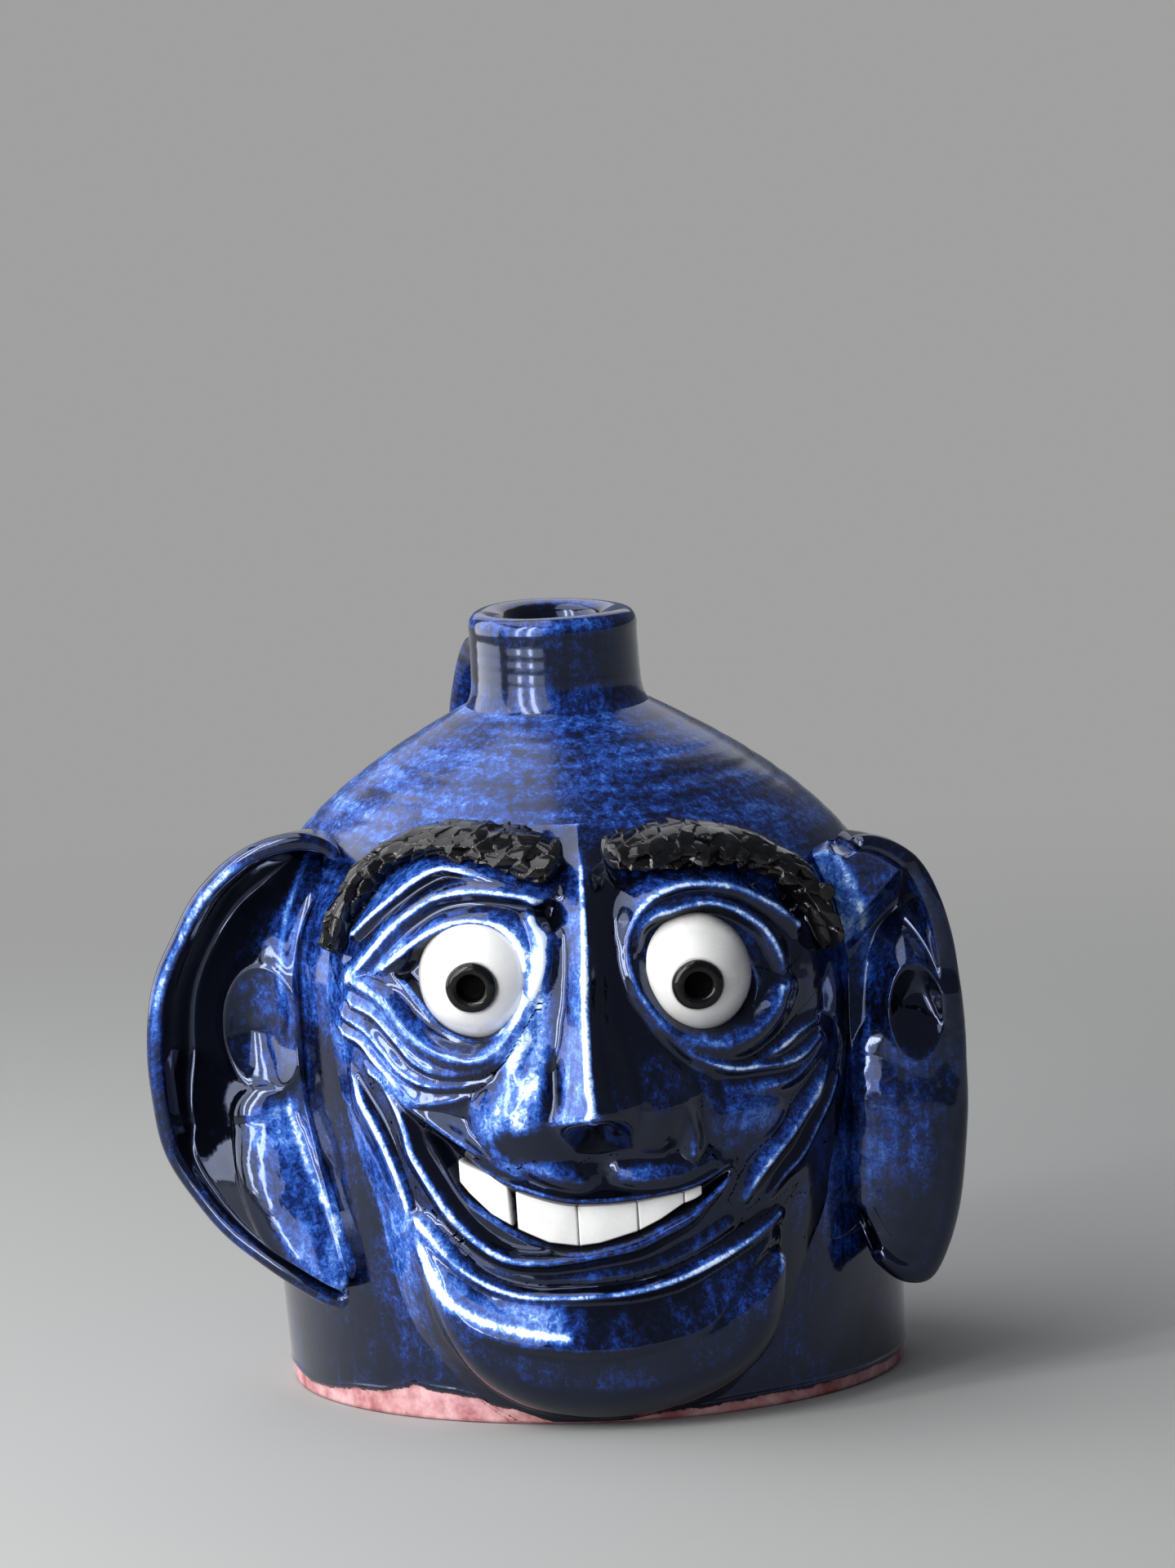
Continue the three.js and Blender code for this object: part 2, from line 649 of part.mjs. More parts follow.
const EARS = {
  right_ear: {
    side: -1,
    rim: [
      [-21, 28], [-15.6, 25], [-5, 31], [6, 38.6], [14.4, 48], [20.4, 58], [22.8, 70], [23, 82], [21, 95],
      [15.6, 106.6], [8.4, 117.4], [-1, 125.2], [-11, 128.6], [-18, 127.4],
    ],
    rimY: [-44, -42, -40, -36, -32, -30, -30, -30, -31, -34, -38, -41, -42, -42],
    root: [
      [54, 32], [56, 36], [58, 42], [59, 50], [60, 60], [60.5, 70], [61, 80], [61, 90], [61, 100], [61, 108],
      [62, 114], [64, 118], [68, 121], [73, 123],
    ],
    cup: RIGHT_EAR_CUP,
  },
  left_ear: {
    side: 1,
    rim: [
      [-10, 27.4], [-3.4, 24], [3, 25.4], [7.4, 32.6], [10, 42], [11.6, 54], [12.6, 66], [12.8, 78], [12, 90],
      [10, 102], [6.4, 111.4], [1.4, 118], [-5, 120.8], [-9, 120.2],
    ],
    rimY: [-46, -42, -40, -40, -40, -40, -40, -40, -41, -42, -43, -43, -42, -42],
    root: [
      [60, 46], [61, 49], [61, 53], [60, 58], [60, 64], [60, 70], [60, 78], [60, 86], [60, 94], [61, 102],
      [63, 108], [65, 112], [68, 115], [72, 117],
    ],
    cup: LEFT_EAR_CUP,
  },
};

// Stoneware and glazes
const clay = (color, roughness) => new THREE.MeshStandardMaterial({ color, roughness, metalness: 0 });
const BLUE_GLAZE = clay(0x1b2f80, 0.12);
const BLACK_GLAZE = clay(0x0b0a0c, 0.2);
const WHITE_GLAZE = clay(0xf2efe6, 0.18);

// Each piece is cut clear of the pieces laid before it.
const jug = new THREE.Group();
const laid = [];
function lay(name, made, material, grown) {
  const shape = largest(laid.reduce((rest, before) => rest.subtract(before), made));
  const mesh = new THREE.Mesh(geometryOf(shape), material);
  mesh.name = name;
  jug.add(mesh);
  if (grown) laid.push(grown);
}

const sockets = Object.values(EYES).map(socketCutter);
const body = new THREE.Mesh(
  geometryOf(sockets.reduce((rest, cutter) => rest.subtract(cutter), thrownBody())),
  BLUE_GLAZE,
);
body.name = "jug_body";
jug.add(body);

lay("neck_collar", neckCollar(), BLUE_GLAZE);
lay("strap_handle", strapHandle().rotate([0, 0, 90 + HANDLE_AZIMUTH]), BLUE_GLAZE);

for (const [name, shape] of Object.entries(EARS)) {
  lay(name, ear(shape), BLUE_GLAZE, ear(shape, GAP));
}
for (const [side, eye] of Object.entries(EYES)) {
  lay(`${side}_pupil`, pupilPlug(eye), BLACK_GLAZE);
  lay(`${side}_eyeball`, eyeball(eye), WHITE_GLAZE, eyeSphere(eye, GAP).add(pupilPlug(eye, GAP)));
}
lay("nose", nose(), BLUE_GLAZE, nose(GAP));
TEETH.forEach((size, i) => lay(`tooth_${i + 1}`, tooth(size), WHITE_GLAZE, tooth(size, GAP)));
for (const [name, shape] of Object.entries(COILS)) {
  lay(name, coil(shape), name.endsWith("brow") ? BLACK_GLAZE : BLUE_GLAZE, coil(shape, GAP));
}
for (const [name, shape] of Object.entries(PADS)) lay(name, pad(shape), BLUE_GLAZE, pad(shape, GAP));

const lean = new THREE.Matrix4().makeShear(0, 0, 0, 0, -LEAN, 0);
for (const piece of jug.children) piece.geometry.applyMatrix4(lean);

export default jug;
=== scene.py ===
"""A small thrown jug with a grinning face of applied clay, under a mottled blue glaze.

Shapes are worked out in millimetres on an upright jug: +Z up, the face towards -Y, the origin in the middle
of the flat foot. make_piece then shears each one a little, because the jug leans, and turns it to metres.
"""
import math
import bpy
import numpy as np
from mathutils import Matrix, Vector


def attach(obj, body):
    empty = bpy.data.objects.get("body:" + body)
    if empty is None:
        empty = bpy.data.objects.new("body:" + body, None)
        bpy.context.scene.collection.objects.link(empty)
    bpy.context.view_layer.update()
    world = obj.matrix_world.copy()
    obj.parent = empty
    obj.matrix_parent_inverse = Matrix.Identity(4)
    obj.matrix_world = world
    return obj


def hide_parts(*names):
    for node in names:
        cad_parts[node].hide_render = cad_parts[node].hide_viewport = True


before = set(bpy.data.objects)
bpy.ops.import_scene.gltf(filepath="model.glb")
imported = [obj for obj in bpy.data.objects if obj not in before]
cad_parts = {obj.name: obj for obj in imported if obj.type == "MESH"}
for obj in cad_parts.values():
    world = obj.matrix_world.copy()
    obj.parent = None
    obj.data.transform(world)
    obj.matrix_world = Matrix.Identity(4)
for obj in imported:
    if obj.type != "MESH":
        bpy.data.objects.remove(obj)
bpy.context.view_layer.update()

MM = 0.001

# Thrown body
BODY_HEIGHT = 153.5
FOOT_RADIUS = 69.7
BELLY_RADIUS = 73.0
BELLY_HEIGHT = 95.0
DOME_POWER = 2.15
DOME_RISE = BODY_HEIGHT - BELLY_HEIGHT
WALL = 6.0
FLOOR = 7.0
FOOT_BEVEL = 1.2
LEAN = 0.0244
RING_PITCH = 4.4

# Neck collar
NECK_RADIUS = 19.2
NECK_HEIGHT = 20.5
NECK_TOP = BODY_HEIGHT + NECK_HEIGHT
BORE_RADIUS = 10.5

# Strap handle
HANDLE_WIDTH = 21.0
HANDLE_THICKNESS = 7.0
HANDLE_DROP = 34.0
HANDLE_AZIMUTH = 16.0
GROOVE_PITCH = 6.6

# Eyes
EYE_RADIUS = 14.0
EYE_SINK = 3.0
EYE_SEAT = 3.4
PUPIL_RADIUS = 5.6
EYES = {
    "right": {"x": -23.3, "z": 101.5, "look": (-22.8, 101.2)},
    "left": {"x": 29.2, "z": 100.6, "look": (27.6, 99.6)},
}

# Height that the applied clay stands out of the wall
NOSE_HEIGHT = 19.0
BROW_HEIGHT = 8.5
CHIN_HEIGHT = 12.0
TOOTH_HEIGHT = 6.0

# Value of `bare` well above the glaze's edge, and well below it
GLAZED = 6.0
UNGLAZED = -6.0


def climb(x, start, length=1.0):
    """0 before `start`, then rising straight to 1 over `length`. A length below 0 rises towards smaller x."""
    return np.clip((x - start) / length, 0, 1)


def bell(x, half):
    """1 where x is 0, falling off smoothly to 1/e at `half` on each side."""
    return np.exp(-((x / half) ** 2))


def quarter_round(share):
    """Height of a quarter round: 0 at its edge, 1 where `share` is 1 or more."""
    return np.sqrt(1 - (1 - np.clip(share, 0, 1)) ** 2)


def oval(x, z, middle, half):
    """How far out places lie from a middle, where 1 is on the oval with these half sizes."""
    return np.sqrt(((x - middle[0]) / half[0]) ** 2 + ((z - middle[1]) / half[1]) ** 2)


def turns(count):
    """Angles of `count` even steps round a circle."""
    return 2 * np.pi * np.arange(count) / count


def walked(curve):
    """Distance along a curve at each of its points."""
    return np.concatenate([[0], np.cumsum(np.linalg.norm(np.diff(curve, axis=0), axis=1))])


def directions(curve):
    """Unit direction of a curve at each of its points."""
    tangent = np.gradient(curve, axis=0)
    return tangent / np.linalg.norm(tangent, axis=1, keepdims=True)


def body_radius(z):
    """Outer radius of the thrown wall at a height: a slow swell to the belly, then a dome up to the neck."""
    z = np.asarray(z, float)
    low = FOOT_RADIUS + (BELLY_RADIUS - FOOT_RADIUS) * np.sin(np.pi / 2 * climb(z, 0, BELLY_HEIGHT))
    high = NECK_RADIUS + (BELLY_RADIUS - NECK_RADIUS) * (1 - climb(z, BELLY_HEIGHT, DOME_RISE) ** DOME_POWER)
    return np.where(z <= BELLY_HEIGHT, low, high)


# How far one walks up the wall to reach a height
TABLE_Z = np.linspace(0, BODY_HEIGHT, 2000)
TABLE_WALK = walked(np.stack([TABLE_Z, body_radius(TABLE_Z)], axis=1))


def walk_to(z):
    """Distance up the wall from the foot to a height."""
    z = np.asarray(z, float)
    return np.where(z < 0, z, np.interp(z, TABLE_Z, TABLE_WALK))


def height_at(walk):
    """Height that is a distance up the wall."""
    walk = np.asarray(walk, float)
    return np.where(walk < 0, walk, np.interp(walk, TABLE_WALK, TABLE_Z))


def thrown(angle, z):
    """Soft rings that the potter's fingers left in the wall, in millimetres."""
    turn = 2 * np.pi * (z + RING_PITCH * angle / (2 * np.pi)) / RING_PITCH
    rings = 0.06 * np.sin(turn) + 0.03 * np.sin(2 * turn + 1.0)
    rings = rings * (1 + 0.7 * np.sin(3 * angle + z / 5) * np.sin(2 * angle - z / 9 + 1))
    rings = rings * np.clip((z - 112) / 14, 0.12, 1)
    sway = 0.25 * np.sin(2 * angle + 0.7) + 0.12 * np.sin(3 * angle - z / 21)
    return (rings + sway) * climb(z, 6, 12) * climb(z, BODY_HEIGHT, -6)


def on_wall(across, z, off):
    """Points at a distance round the wall from the middle of the face, a height, and a distance off it."""
    angle = np.asarray(across, float) / BELLY_RADIUS
    z = np.asarray(z, float)
    r = body_radius(z) + off
    return np.stack([r * np.sin(angle), -r * np.cos(angle), z + 0 * r], axis=-1)


def across_of(x, z, off):
    """Distance round the wall at which a front-view x lies on a surface that stands `off` from the wall."""
    return BELLY_RADIUS * np.arcsin(np.clip(np.asarray(x, float) / (body_radius(z) + off), -1, 1))


def smooth_path(points, step):
    """Points along a Catmull-Rom curve through `points`, about `step` apart in the first two columns."""
    p = np.asarray(points, float)
    padded = np.vstack([2 * p[0] - p[1], p, 2 * p[-1] - p[-2]])
    out = []
    for a, b, c, d in zip(padded, padded[1:], padded[2:], padded[3:]):
        count = max(2, int(np.linalg.norm((c - b)[:2]) / step))
        t = (np.arange(count) / count)[:, None]
        bend = (2 * a - 5 * b + 4 * c - d) * t**2 + (3 * b - a - 3 * c + d) * t**3
        out.append(b + 0.5 * (c - a) * t + 0.5 * bend)
    out.append(p[-1:])
    return np.vstack(out)


def nearest(x, z, curve):
    """Distance from each place to the nearest point of a curve, and which point that is."""
    near = np.full(x.shape, 1e9)
    index = np.zeros(x.shape, int)
    for k, point in enumerate(curve):
        far = (x - point[0]) ** 2 + (z - point[1]) ** 2
        closer = far < near
        near[closer] = far[closer]
        index[closer] = k
    return np.sqrt(near), index


def blurred(values, sigma):
    """A grid smoothed by a Gaussian of `sigma` cells both ways."""
    reach = max(1, int(3 * sigma))
    kernel = np.exp(-0.5 * (np.arange(-reach, reach + 1) / sigma) ** 2)
    kernel /= kernel.sum()
    for axis in (0, 1):
        ends = [(reach, reach) if k == axis else (0, 0) for k in (0, 1)]
        wide = np.pad(values, ends, mode="edge")
        size = values.shape[axis]
        values = sum(w * np.take(wide, np.arange(k, k + size), axis=axis) for k, w in enumerate(kernel))
    return values


def ripple(a, b, length, seed, waves=14):
    """Smooth seeded noise between about -1 and 1 over two coordinates, with lumps of about `length`."""
    rng = np.random.default_rng(seed)
    total = 0
    for _ in range(waves):
        turn = rng.uniform(0, 2 * np.pi)
        size = 2 * np.pi / (length * rng.uniform(1.2, 3.2))
        phase = rng.uniform(0, 2 * np.pi)
        total = total + np.sin(size * (a * np.cos(turn) + b * np.sin(turn)) + phase)
    return total / math.sqrt(waves) / 1.4


# Making of pieces


def grid_normals(points, wrap=False):
    """Unit normals of a grid of points, from its two tangents."""
    if wrap:
        along = np.roll(points, -1, axis=0) - np.roll(points, 1, axis=0)
    else:
        along = np.gradient(points, axis=0)
    normals = np.cross(along, np.gradient(points, axis=1))
    return normals / np.maximum(np.linalg.norm(normals, axis=-1, keepdims=True), 1e-12)


def grid_crests(points, normals, spread=1.6):
    """How far each point of a grid that closes round stands above the mean of what lies round it."""
    mean = points
    for _ in range(3):
        total = 0
        for axis in (0, 1):
            for step in (-2, 2):
                moved = np.roll(mean, step, axis=axis)
                if axis == 1:
                    edge = slice(0, 2) if step > 0 else slice(-2, None)
                    moved[:, edge] = mean[:, edge]
                total = total + moved
        mean = total / 4
    return np.clip(((points - mean) * normals).sum(-1) * spread, -1, 1)


def grid_faces(columns, rows, wrap=False):
    """Quads of a grid whose points are stored column by column."""
    i = np.arange(columns if wrap else columns - 1)
    j = np.arange(rows - 1)
    a = (i[:, None] * rows + j[None, :]).ravel()
    b = (((i[:, None] + 1) % columns) * rows + j[None, :]).ravel()
    return [tuple(face) for face in np.stack([a, b, b + 1, a + 1], axis=1)]


def capped_faces(columns, rows):
    """Faces of a grid that closes round, with a fan to a middle point at each end."""
    faces = grid_faces(columns, rows, wrap=True)
    hub = columns * rows
    for k in range(columns):
        n = (k + 1) % columns
        faces.append((hub, n * rows, k * rows))
        faces.append((hub + 1, k * rows + rows - 1, n * rows + rows - 1))
    return faces


def with_hubs(values, low=0.0, high=0.0):
    """Values of a grid's points, followed by those of the two middle points of its caps."""
    return np.append(values.ravel(), [low, high])


def volume(points, faces):
    """Signed volume of a closed mesh, times six."""
    triangles = [(f[0], f[k], f[k + 1]) for f in faces for k in range(1, len(f) - 1)]
    a, b, c = (points[list(corner)] for corner in zip(*triangles))
    return float((a * np.cross(b, c)).sum())


def make_piece(name, points, faces, material, nodes, attributes, normals=None):
    """A closed mesh in the jug's frame that rides on the root body and stands for its CAD nodes."""
    points = np.asarray(points, float).copy()
    points[:, 0] -= LEAN * points[:, 2]
    faces = [list(map(int, face)) for face in faces]
    if volume(points, faces) < 0:
        faces = [face[::-1] for face in faces]
    mesh = bpy.data.meshes.new(name)
    mesh.from_pydata((points * MM).tolist(), [], faces)
    mesh.polygons.foreach_set("use_smooth", np.ones(len(mesh.polygons), bool))
    for key, values in attributes.items():
        layer = mesh.attributes.new(key, "FLOAT", "POINT")
        layer.data.foreach_set("value", np.asarray(values, np.float32))
    mesh.materials.append(material)
    mesh.validate()
    mesh.update()
    if normals is not None:
        leaned = normals.copy()
        leaned[:, 2] += LEAN * leaned[:, 0]
        leaned /= np.linalg.norm(leaned, axis=1, keepdims=True)
        mesh.normals_split_custom_set_from_vertices(leaned.tolist())
    piece = bpy.data.objects.new(name, mesh)
    bpy.context.scene.collection.objects.link(piece)
    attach(piece, "root")
    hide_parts(*nodes)


def make_tube(name, rings, material, nodes, values=None, hub=0.0, crest_gain=1.0):
    """A closed piece from rings of points, with a fan at each end. A value is a number, or one per point."""
    rings = np.asarray(rings, float)
    rows, sides = rings.shape[:2]
    grid = rings.transpose(1, 0, 2)
    points = np.vstack([grid.reshape(-1, 3), rings[0].mean(0)[None], rings[-1].mean(0)[None]])
    normals = grid_normals(grid, wrap=True)
    outward = np.sign(((grid - grid.mean(axis=0)) * normals).sum())
    attributes = {"crest": with_hubs(crest_gain * grid_crests(grid, normals * outward))}
    for key, value in (values or {}).items():
        attributes[key] = np.full(len(points), value) if np.isscalar(value) else with_hubs(value, hub, hub)
    make_piece(name, points, capped_faces(sides, rows), material, nodes, attributes)


# Glazes and clay


class Nodes:
    """Short ways to add shader nodes to a material. A value can be a number, a colour or a socket to link."""

    def __init__(self, name):
        self.material = bpy.data.materials.new(name)
        self.material.use_nodes = True
        self.tree = self.material.node_tree
        self.shader = self.tree.nodes["Principled BSDF"]
        self.place = self.add("TexCoord").outputs["Object"]

    def put(self, value, socket):
        if isinstance(value, bpy.types.NodeSocket):
            self.tree.links.new(value, socket)
        else:
            socket.default_value = value

    def add(self, kind, inputs=None, **settings):
        node = self.tree.nodes.new("ShaderNode" + kind)
        for key, value in settings.items():
            setattr(node, key, value)
        for key, value in (inputs or {}).items():
            self.put(value, node.inputs[key])
        return node

    def math(self, kind, a, b=0.0, clamp=False):
        return self.add("Math", {0: a, 1: b}, operation=kind, use_clamp=clamp).outputs[0]

    def total(self, *terms):
        total = terms[0]
        for term in terms[1:]:
            total = self.math("ADD", total, term)
        return total

    def noise(self, scale, detail=2.0, roughness=0.5, stretch=(1, 1, 1), distortion=0.0):
        place = self.add("Mapping", {"Scale": stretch, "Vector": self.place}).outputs["Vector"]
        inputs = {"Scale": scale, "Detail": detail, "Roughness": roughness, "Distortion": distortion}
        return self.add("TexNoise", {**inputs, "Vector": place}).outputs["Fac"]

    def attribute(self, name):
        return self.add("Attribute", attribute_name=name).outputs["Fac"]

    def span(self, value, low, high, to_low=0.0, to_high=1.0):
        inputs = {"Value": value, "From Min": low, "From Max": high, "To Min": to_low, "To Max": to_high}
        return self.add("MapRange", inputs, interpolation_type="SMOOTHSTEP").outputs["Result"]

    def ramp(self, value, stops):
        node = self.add("ValToRGB", {"Fac": value})
        while len(node.color_ramp.elements) < len(stops):
            node.color_ramp.elements.new(0.5)
        for element, (place, color) in zip(node.color_ramp.elements, stops):
            element.position = place
            element.color = (*color, 1)
        return node.outputs["Color"]

    def mix(self, share, a, b):
        a, b = ((*color, 1) if isinstance(color, tuple) else color for color in (a, b))
        return self.add("Mix", {"Factor": share, 6: a, 7: b}, data_type="RGBA").outputs[2]

    def bump(self, height, distance, strength, before=None):
        inputs = {"Strength": strength, "Distance": distance, "Height": height}
        if before is not None:
            inputs["Normal"] = before
        return self.add("Bump", inputs).outputs["Normal"]

    def set(self, **values):
        for key, value in values.items():
            self.put(value, self.shader.inputs[key.replace("_", " ")])


# Colours by how thick the glaze lies and by painted light: 0 is black where it pools and in painted shade, 1
# near white where it thins and in painted highlights
BLUE_STOPS = (
    (0.0, (0.0012, 0.0014, 0.0028)),
    (0.22, (0.002, 0.004, 0.018)),
    (0.4, (0.005, 0.018, 0.11)),
    (0.56, (0.014, 0.058, 0.3)),
    (0.72, (0.045, 0.14, 0.5)),
    (0.88, (0.2, 0.36, 0.74)),
    (1.0, (0.66, 0.78, 0.94)),
)
BLACK_STOPS = ((0.0, (0.0015, 0.0015, 0.002)), (0.5, (0.004, 0.004, 0.005)), (1.0, (0.022, 0.02, 0.021)))
WHITE_STOPS = ((0.3, (0.72, 0.715, 0.7)), (0.7, (0.82, 0.82, 0.82)))
CLAY_STOPS = ((0.38, (0.36, 0.11, 0.1)), (0.62, (0.68, 0.4, 0.4)))
BROKEN_BROWN = (0.03, 0.02, 0.017)
EDGE_BROWN = (0.03, 0.014, 0.012)
MATT_BLACK = (0.0015, 0.0015, 0.0015)
# Beige-grey of the painted shade on white clay
PAINTED_SHADE_BEIGE = (0.2, 0.165, 0.14)
PERIWINKLE = (0.42, 0.55, 1.0, 1.0)

# Sizes of the glaze's marks, as noise scales, and the stretches that draw them out
PATCHES = 55
STREAKS = 330
RUNLETS = 420
CURDS = 640
SPECKS = 1900
RUN_DOWN = (1, 1, 0.1)
DRAWN_ROUND = (0.1, 0.1, 1)
FINGER_ROUND = (0.05, 0.05, 1)

# Coat of clear glass on top, and how sharply it mirrors
CLEAR_COAT = 0.36
WHEEL_COAT = 0.16
BLACK_COAT = 0.8
WHITE_COAT = 0.7
SHARP = 0.03
SOFT = 0.1


def blue_glaze(name, coat_roughness):
    """Cobalt glaze: black where it pools and in painted shade, blue in curdled patches, pale where it thins
    over crests and in painted highlights.
    """
    n = Nodes(name)
    keys = ("crest", "pool", "lift", "bare", "turned")
    crest, pool, lift, bare, turned = (n.attribute(key) for key in keys)
    patches = n.noise(PATCHES, 3.0, 0.6, distortion=0.5)
    curds = n.noise(CURDS, 3.0, 0.65, distortion=0.9)
    # On the thrown dome the wheel drew the glaze into streaks and evened out its patches
    streaks = n.span(n.noise(STREAKS, 3.0, 0.6, stretch=DRAWN_ROUND), 0.3, 0.7, -0.17, 0.17)
    streaks = n.math("ADD", streaks, n.span(patches, 0.3, 0.7, 0.1, -0.1))
    tone = n.total(
        n.span(patches, 0.3, 0.7, 0.19, 0.54),
        n.span(curds, 0.32, 0.68, -0.13, 0.13),
        n.span(n.noise(SPECKS, 2.0, 0.7), 0.3, 0.7, -0.06, 0.06),
        n.span(n.noise(RUNLETS, 3.0, 0.6, stretch=RUN_DOWN), 0.35, 0.65, -0.08, 0.08),
        n.math("MULTIPLY", streaks, turned),
        # Paler on crests, partly glaze that thins there and partly painted highlight; lift adds painted light
        # as well as thinner glaze
        n.math("MULTIPLY", crest, 0.2),
        n.span(crest, 0.4, 0.95, 0.0, 0.5),
        lift,
    )
    # Darker where the glaze pools and where shade is painted
    blue = n.ramp(n.math("SUBTRACT", tone, pool, clamp=True), BLUE_STOPS)
    breaks = n.math("MULTIPLY", n.span(crest, 0.35, 0.8), n.span(n.noise(160, 3.0, 0.7), 0.6, 0.7))
    blue = n.mix(n.math("MULTIPLY", breaks, 0.4), blue, BROKEN_BROWN)
    # Below the glaze's uneven edge lies bare clay, with a brown line between the two
    edge = n.math("ADD", bare, n.span(n.noise(240, 3.0, 0.6), 0.3, 0.7, -0.45, 0.45))
    is_clay = n.span(edge, -0.15, 0.05, 1.0, 0.0)
    is_glaze = n.math("SUBTRACT", 1.0, is_clay)
    line = n.math("MULTIPLY", n.span(edge, -0.35, -0.05), n.span(edge, 0.1, 0.55, 1.0, 0.0))
    color = n.mix(line, n.mix(is_clay, blue, n.ramp(n.noise(90, 4.0, 0.7), CLAY_STOPS)), EDGE_BROWN)
    waves = n.bump(n.noise(260, 2.0, 0.5), 0.00028, 0.11)
    fingers = n.math("MULTIPLY", n.noise(620, 2.0, 0.5, stretch=FINGER_ROUND), turned)
    soft = n.bump(fingers, 0.0002, 0.15, before=waves)
    rough = n.math("ADD", n.math("MULTIPLY", turned, 0.17), n.span(curds, 0.3, 0.7, 0.05, 0.11))
    n.set(
        Base_Color=color,
        Roughness=n.math("ADD", n.math("MULTIPLY", is_clay, 0.65), rough),
        IOR=1.64,
        Specular_Tint=PERIWINKLE,
        Normal=n.bump(curds, 0.00005, 0.3, before=soft),
        Coat_Weight=n.math("MULTIPLY", is_glaze, n.span(turned, 0.0, 1.0, CLEAR_COAT, WHEEL_COAT)),
        Coat_Roughness=coat_roughness,
        Coat_IOR=1.5,
        Coat_Normal=soft,
    )
    return n.material


def black_glaze():
    """Black glaze: glossy, greyer where tool marks stand up, and matt in the pupils' pierced middles."""
    n = Nodes("black_glaze")
    matt = n.attribute("matt")
    crest = n.math("MULTIPLY", n.attribute("crest"), 0.4)
    tone = n.math("ADD", crest, n.span(n.noise(500, 3.0, 0.6), 0.3, 0.7, 0.2, 0.6))
    rough = n.span(n.noise(700, 2.0, 0.5), 0.3, 0.7, 0.14, 0.3)
    n.set(
        Base_Color=n.mix(matt, n.ramp(tone, BLACK_STOPS), MATT_BLACK),
        Roughness=n.math("ADD", n.math("MULTIPLY", matt, 0.5), rough),
        IOR=1.1,
        Normal=n.bump(n.noise(1300, 2.0, 0.5), 0.0001, 0.4),
        Coat_Weight=n.math("MULTIPLY", n.math("SUBTRACT", 1.0, matt), BLACK_COAT),
        Coat_Roughness=0.06,
        Coat_IOR=1.5,
    )
    return n.material


def white_glaze():
    """White clay under clear glaze with faint waves, and painted shade, grey and beige, in its creases and
    gaps.
    """
    n = Nodes("white_glaze")
    color = n.ramp(n.noise(90, 3.0, 0.6), WHITE_STOPS)
    # Painted shade, beige-grey, where the shade attribute is set: the eyeballs' edges and the teeth's gaps
    painted_crease_shade = n.math("MULTIPLY", n.attribute("shade"), n.span(n.noise(420, 3.0, 0.7), 0.25, 0.75, 0.55, 1.0))
    n.set(
        Base_Color=n.mix(painted_crease_shade, color, PAINTED_SHADE_BEIGE),
        Roughness=n.span(n.noise(600, 2.0, 0.5), 0.3, 0.7, 0.16, 0.28),
        Normal=n.bump(n.noise(500, 2.0, 0.5), 0.00008, 0.3),
        Coat_Weight=WHITE_COAT,
        Coat_Roughness=0.05,
    )
    return n.material


BLUE = blue_glaze("blue_glaze", SHARP)
THROWN_BLUE = blue_glaze("blue_glaze_thrown", SOFT)
BLACK = black_glaze()
WHITE = white_glaze()

# Thrown body

# Height of the glaze's edge above the table by angle round the jug: 0 is the middle of the face
GLAZE_EDGE = (
    (-180, 5.4), (-150, 4.2), (-120, 5.6), (-95, 4.0), (-80, 4.6), (-69, 3.5), (-58, 4.1), (-49, 4.7),
    (-43, 5.0), (-39.5, 6.6), (-36, 8.0), (-32.5, 7.3), (-28, 7.0), (-18, 4.4), (-5, 2.0), (10, 1.8),
    (26, 3.0), (45, 3.0), (60, 2.6), (80, 3.8), (100, 3.2), (125, 5.2), (150, 4.4), (180, 5.4),
)
BESIDE_FACE = math.radians(-48)


def glaze_edge(angle):
    """Height of the glaze's edge at an angle in radians."""
    degrees = np.degrees(np.arctan2(np.sin(angle), np.cos(angle)))
    level = np.interp(degrees, *np.array(GLAZE_EDGE).T)
    return level + 0.3 * np.sin(7 * angle + 1) + 0.18 * np.sin(13 * angle)


def eye_centre(eye):
    """Middle of an eyeball, a little inside the wall."""
    return on_wall(across_of(eye["x"], eye["z"], EYE_RADIUS / 2), eye["z"], -EYE_SINK)


